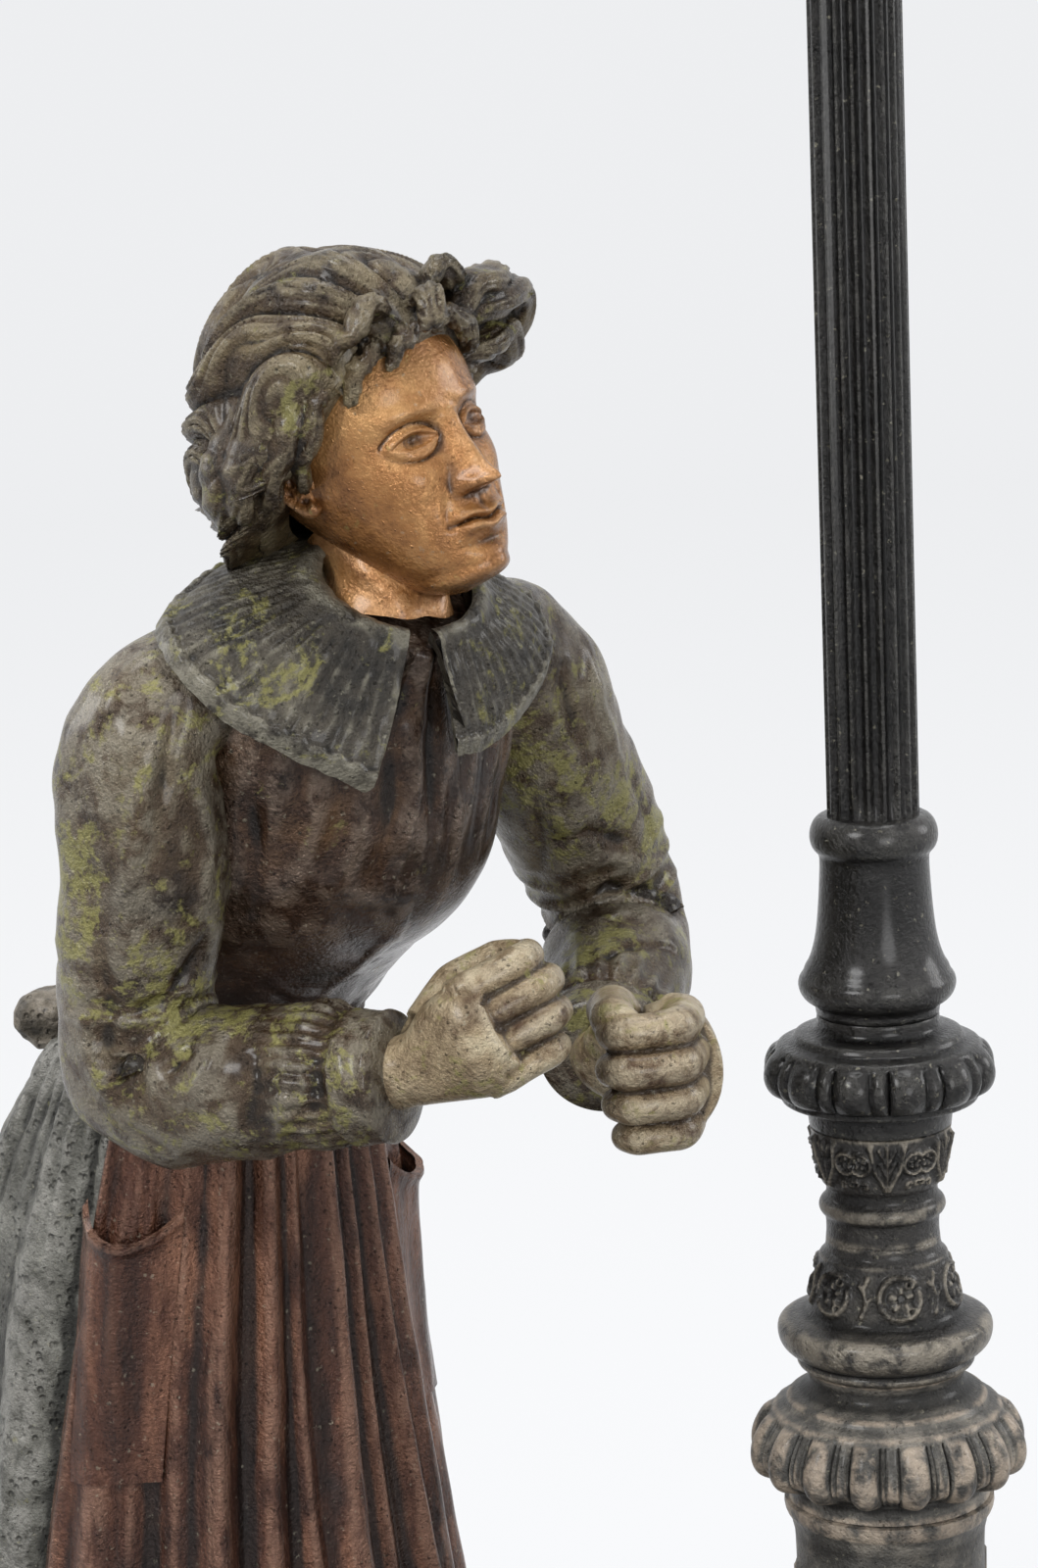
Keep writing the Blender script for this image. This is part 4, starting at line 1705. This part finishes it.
def paved_top(u, v, centre, half, top, cut=15.5):
    """A grid that fills a rectangle whose corners are cut off, with its rim let into the slab."""
    x, y = (u * 2 - 1) * half[0], (v * 2 - 1) * half[1]
    over = np.abs(x) + np.abs(y) - (half[0] + half[1] - cut)
    pull = np.clip(over, 0, None) / 2
    x, y = x - np.sign(x) * pull, y - np.sign(y) * pull
    drop = np.where(np.minimum(half[0] - np.abs(x), half[1] - np.abs(y)) < 0.6, 0.5, 0.0)
    return np.column_stack([centre[0] + x, centre[1] + y, top - drop])


def make_lantern():
    for node, width in CAST_NODES.items():
        obj = node_copy(node + "_casting", node, bevel=width)
        if node == "post_plinth":
            settle(obj, MATERIALS["post_chalky"], node, edges=True)
        else:
            settle(obj, MATERIALS["lantern"], node, edges=True)
    frame_casting = node_copy("door_frame_casting", "door_frame", bevel=0.25)
    settle(frame_casting, MATERIALS["lantern"], "door_frame", body="door", edges=True)
    for node in ("hinge_pins", "hinge_leaves"):
        obj = node_copy(node + "_casting", node, bevel=0.25)
        settle(obj, MATERIALS["brass"], node, edges=True)
    knob = node_copy("door_knob_turned", "door_knob", bevel=0.2)
    settle(knob, MATERIALS["brass"], "door_knob", body="door")


def make_fitting():
    """Bulb, holder, contacts and glass."""
    for node in ("holder_cap", "holder_shell", "bulb_cap"):
        obj = node_copy(node + "_turned", node, bevel=0.2)
        settle(obj, MATERIALS["brass"], node)
    insert = node_copy("holder_insert_fired", "holder_insert", bevel=0.2)
    settle(insert, MATERIALS["porcelain"], "holder_insert")
    key = node_copy("switch_key_moulded", "switch_key", bevel=0.35, segments=3)
    settle(key, MATERIALS["plastic"], "switch_key", body="key")
    bulb = node_copy("bulb_glass_blown", "bulb_glass")
    smooth_faces(bulb)
    settle(bulb, MATERIALS["bulb"], "bulb_glass")
    for node, finish in PLAIN_NODES.items():
        keep(node, finish)


def keep(node, finish):
    """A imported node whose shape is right, with a better material on its own slots."""
    obj = NODES[node]
    for slot in obj.material_slots:
        slot.material = MATERIALS[finish]


# ---------------------------------------------------------------------------------------------
# Stage
# ---------------------------------------------------------------------------------------------


PAPER_WIDTH, PAPER_BEND = 60.0, 1.2
LIGHT_AIM = Vector((0.02, 0.0, 0.33))
LIGHTS = (  # name, place, size and power
    ("key", (-1.35, -1.5, 1.7), 0.9, 34.0), ("front", (0.75, -2.1, 0.6), 1.0, 18.0),
    ("top", (0.15, 0.1, 1.9), 1.0, 20.0), ("rim_right", (1.8, 0.35, 0.9), 0.8, 13.0),
    ("rim_left", (-1.8, 0.7, 0.9), 0.8, 9.0),
)


def make_stage(stage):
    """Paper floor that curves up behind, plain pale world, soft lights and the photograph's camera."""
    scene = bpy.context.scene
    scene.view_settings.view_transform = "Standard"
    finish = Finish("studio_paper")
    seen = finish.background_seen()
    paper = finish.add("ShaderNodeBsdfDiffuse", {}, {"Color": (0.86, 0.865, 0.875, 1.0)})
    glow = finish.add("ShaderNodeEmission", {}, {"Color": (*stage.paper, 1.0), "Strength": seen})
    both = finish.add("ShaderNodeMixShader", {}, {0: 0.9, 1: paper, 2: glow})
    finish.surface(both)
    deselect()
    bpy.ops.mesh.primitive_grid_add(x_subdivisions=2, y_subdivisions=60, size=1.0)
    floor = bpy.context.object
    floor.name = "studio_floor"
    flat = points_of(floor) * MM
    along = (flat[:, 1] + 0.5) * 9.0
    turn = np.clip((along - 6.0) / 1.9, 0, math.pi / 2)
    y = np.where(along < 6.0, along * 5.0 - 27.0, 3.0 + PAPER_BEND * np.sin(turn))
    z = np.where(along < 6.0, 0.0, PAPER_BEND - PAPER_BEND * np.cos(turn))
    z = z + np.clip(along - 6.0 - 1.9 * math.pi / 2, 0, None) * 40
    set_points(floor, np.column_stack([flat[:, 0] * PAPER_WIDTH, y, z]) / MM)
    smooth_faces(floor)
    floor.data.materials.append(finish.material)

    world = bpy.data.worlds.new("studio")
    world.use_nodes = True
    air = Surroundings(world)
    seen = air.background_seen()
    fill = air.add("ShaderNodeBackground", {}, {"Color": (0.92, 0.94, 0.97, 1.0), "Strength": stage.fill})
    pale = air.add("ShaderNodeBackground", {}, {"Color": (*stage.paper, 1.0), "Strength": 1.0})
    air.surface(air.add("ShaderNodeMixShader", {}, {0: seen, 1: fill, 2: pale}), "ShaderNodeOutputWorld")
    scene.world = world

    for name, place, size, power in LIGHTS:
        deselect()
        bpy.ops.object.light_add(type="AREA", location=place)
        lamp = bpy.context.object
        lamp.name = "light_" + name
        lamp.data.shape = "DISK"
        lamp.data.size = size
        lamp.data.energy = power * stage.light
        lamp.rotation_euler = (LIGHT_AIM - Vector(place)).to_track_quat("-Z", "Y").to_euler()

    deselect()
    bpy.ops.object.camera_add(location=tuple(CAMERA_PLACE * MM))
    camera = bpy.context.object
    camera.data.sensor_width = SENSOR
    camera.data.lens = FOCAL_PIXELS / PHOTO_SIZE[1] * SENSOR
    axes = np.column_stack([CAMERA_RIGHT, CAMERA_UP, -CAMERA_AHEAD])
    camera.rotation_euler = Matrix(axes.tolist()).to_euler()
    camera.data.clip_end = 60.0
    scene.camera = camera


# ---------------------------------------------------------------------------------------------
# Panel values
# ---------------------------------------------------------------------------------------------


def tint(name, description, default):
    """A colour that the panel shows."""
    return bpy.props.FloatVectorProperty(
        name=name, description=description, subtype="COLOR", size=3, default=default, min=0.0, max=1.0
    )


class LAMP_PG_post(bpy.types.PropertyGroup):
    low_lobes: bpy.props.IntProperty(
        name="Lower lobes", description="Lobes round the lower knop", default=16, min=6
    )
    high_lobes: bpy.props.IntProperty(
        name="Upper lobes", description="Lobes round the upper knop", default=24, min=6
    )
    flutes: bpy.props.IntProperty(name="Flutes", description="Flutes round the shaft", default=18, min=6)
    groove: bpy.props.FloatProperty(
        name="Groove", description="Depth between two lobes", default=0.0016, min=0.0, unit="LENGTH"
    )
    panel_width: bpy.props.FloatProperty(
        name="Panel width", description="Width of a framed panel", default=0.018, unit="LENGTH"
    )
    panel_height: bpy.props.FloatProperty(
        name="Panel height", description="Height of a framed panel", default=0.058, unit="LENGTH"
    )
    panel_frame: bpy.props.FloatProperty(
        name="Frame width", description="Width of a panel's raised frame", default=0.0022, unit="LENGTH"
    )
    panel_relief: bpy.props.FloatProperty(
        name="Frame relief", description="How far the frame stands out", default=0.0011, unit="LENGTH"
    )
    post_colour: tint("Post colour", "Black-brown paint of the post", srgb(27, 26, 25))


class LAMP_PG_figure(bpy.types.PropertyGroup):
    fold_depth: bpy.props.FloatProperty(
        name="Apron folds", description="Depth of the folds, 1 as designed", subtype="FACTOR", default=1.0,
        min=0.0, max=1.2,
    )
    pocket_height: bpy.props.FloatProperty(
        name="Pocket height", description="Height of a patch pocket", default=0.062, min=0.02, unit="LENGTH"
    )
    hair: tint("Hair", "Middle tone of the hair's patina", srgb(60, 46, 30))
    skin: tint("Face", "Middle tone of the head and neck", srgb(144, 99, 56))
    hands: tint("Hands", "Middle tone of the hands", srgb(142, 125, 98))
    collar: tint("Collar", "Middle tone of the collar", srgb(56, 51, 43))
    bodice: tint("Bodice", "Middle tone of the bodice", srgb(52, 32, 17))
    sleeve: tint("Sleeves", "Middle tone of the sleeves", srgb(66, 51, 35))
    apron: tint("Apron", "Middle tone of the apron and shoes", srgb(68, 39, 26))
    skirt: tint("Skirt", "Middle tone of the skirt", srgb(90, 89, 83))
    bow: tint("Bow", "Middle tone of the apron's bow", srgb(88, 81, 70))


class LAMP_PG_stage(bpy.types.PropertyGroup):
    light: bpy.props.FloatProperty(
        name="Lights", description="Strength of the studio lights", default=1.3, min=0.0
    )
    fill: bpy.props.FloatProperty(
        name="Fill", description="Strength of the surrounding light", default=0.26, min=0.0
    )
    paper: tint("Paper", "Colour of floor and backdrop", srgb(244, 245, 247))


# ---------------------------------------------------------------------------------------------
# Operators
# ---------------------------------------------------------------------------------------------


class LAMP_OT_finishes(bpy.types.Operator):
    """Make the patinas, metals and glasses"""

    bl_idname = "lamp.finishes"
    bl_label = "Finishes"

    def execute(self, context):
        make_finishes(context.scene.lamp_post, context.scene.lamp_figure)
        return {"FINISHED"}


class LAMP_OT_base(bpy.types.Operator):
    """Model the base with its paving"""

    bl_idname = "lamp.base"
    bl_label = "Base"

    def execute(self, context):
        make_base()
        return {"FINISHED"}


class LAMP_OT_knops(bpy.types.Operator):
    """Model the two gadrooned knops of the post"""

    bl_idname = "lamp.knops"
    bl_label = "Gadrooned knops"

    def execute(self, context):
        post = context.scene.lamp_post
        lower = make_lower_gadroon(post.low_lobes, post.groove / MM)
        finish_casting(lower, "post_chalky", "post_lower_gadroon")
        upper = make_upper_gadroon(post.high_lobes, post.groove / MM)
        finish_casting(upper, "post_dark", "post_upper_gadroon")
        return {"FINISHED"}


class LAMP_OT_post(bpy.types.Operator):
    """Model the drum, flare, cup, bell, shaft and capital"""

    bl_idname = "lamp.post"
    bl_label = "Post castings"

    def execute(self, context):
        post = context.scene.lamp_post
        finish_casting(make_flare(), "post_worn", "post_scroll_flare")
        finish_casting(make_cup(), "post_worn", "post_leaf_cup")
        finish_casting(make_bell(), "post_dark", "post_bell")
        drum = make_drum(
            post.panel_width / MM, post.panel_height / MM, post.panel_frame / MM, post.panel_relief / MM
        )
        finish_casting(drum, "post_chalky", "post_drum")
        finish_casting(make_shaft(post.flutes), "post_dark", "fluted_shaft")
        finish_casting(make_capital(), "post_dark", "shaft_capital")
        return {"FINISHED"}


class LAMP_OT_skirt(bpy.types.Operator):
    """Model the skirt, the apron with its pockets, the bow and the shoes"""

    bl_idname = "lamp.skirt"
    bl_label = "Skirt and apron"

    def execute(self, context):
        figure = context.scene.lamp_figure
        make_skirt_casting()
        make_apron_casting(figure.fold_depth, figure.pocket_height / MM)
        make_bow_casting()
        make_shoe_castings()
        return {"FINISHED"}


class LAMP_OT_bodice(bpy.types.Operator):
    """Model the bodice and its pleated collar"""

    bl_idname = "lamp.bodice"
    bl_label = "Bodice and collar"

    def execute(self, context):
        make_bodice_casting()
        make_collar_casting()
        return {"FINISHED"}


class LAMP_OT_head(bpy.types.Operator):
    """Model the head, the neck and the waved hair"""

    bl_idname = "lamp.head"
    bl_label = "Head and hair"

    def execute(self, context):
        make_head_casting()
        make_hair_casting()
        return {"FINISHED"}


class LAMP_OT_arms(bpy.types.Operator):
    """Model both sleeves and both hands"""

    bl_idname = "lamp.arms"
    bl_label = "Arms and hands"

    def execute(self, context):
        for hand in ("right", "left"):
            make_sleeve_casting(hand)
            make_hand_casting(hand)
        return {"FINISHED"}


class LAMP_OT_lantern(bpy.types.Operator):
    """Round the edges of the lantern's castings and finish its glass and fitting"""

    bl_idname = "lamp.lantern"
    bl_label = "Lantern"

    def execute(self, context):
        make_lantern()
        make_fitting()
        return {"FINISHED"}


class LAMP_OT_stage(bpy.types.Operator):
    """Set up the paper floor, the lights and the camera"""

    bl_idname = "lamp.stage"
    bl_label = "Stage"

    def execute(self, context):
        make_stage(context.scene.lamp_stage)
        return {"FINISHED"}


OPERATORS = (
    LAMP_OT_finishes, LAMP_OT_base, LAMP_OT_knops, LAMP_OT_post, LAMP_OT_skirt, LAMP_OT_bodice, LAMP_OT_head,
    LAMP_OT_arms, LAMP_OT_lantern, LAMP_OT_stage,
)


class LAMP_PT_panel(bpy.types.Panel):
    """Sizes, colours and pieces of the lamp"""

    bl_idname = "LAMP_PT_panel"
    bl_label = "Figural Table Lamp"
    bl_space_type = "VIEW_3D"
    bl_region_type = "UI"
    bl_category = "Lamp"

    def draw(self, context):
        scene = context.scene
        for group in (scene.lamp_post, scene.lamp_figure, scene.lamp_stage):
            for key in group.__annotations__:
                self.layout.prop(group, key)
        for operator in OPERATORS:
            self.layout.operator(operator.bl_idname)


CLASSES = (LAMP_PG_post, LAMP_PG_figure, LAMP_PG_stage, *OPERATORS, LAMP_PT_panel)


def register():
    for item in CLASSES:
        bpy.utils.register_class(item)
    bpy.types.Scene.lamp_post = bpy.props.PointerProperty(type=LAMP_PG_post)
    bpy.types.Scene.lamp_figure = bpy.props.PointerProperty(type=LAMP_PG_figure)
    bpy.types.Scene.lamp_stage = bpy.props.PointerProperty(type=LAMP_PG_stage)


def unregister():
    del bpy.types.Scene.lamp_stage
    del bpy.types.Scene.lamp_figure
    del bpy.types.Scene.lamp_post
    for item in reversed(CLASSES):
        bpy.utils.unregister_class(item)


def main():
    register()
    bpy.ops.lamp.finishes()
    bpy.ops.lamp.base()
    bpy.ops.lamp.knops()
    bpy.ops.lamp.post()
    bpy.ops.lamp.skirt()
    bpy.ops.lamp.bodice()
    bpy.ops.lamp.head()
    bpy.ops.lamp.arms()
    bpy.ops.lamp.lantern()
    bpy.ops.lamp.stage()


if __name__ == "__main__":
    main()
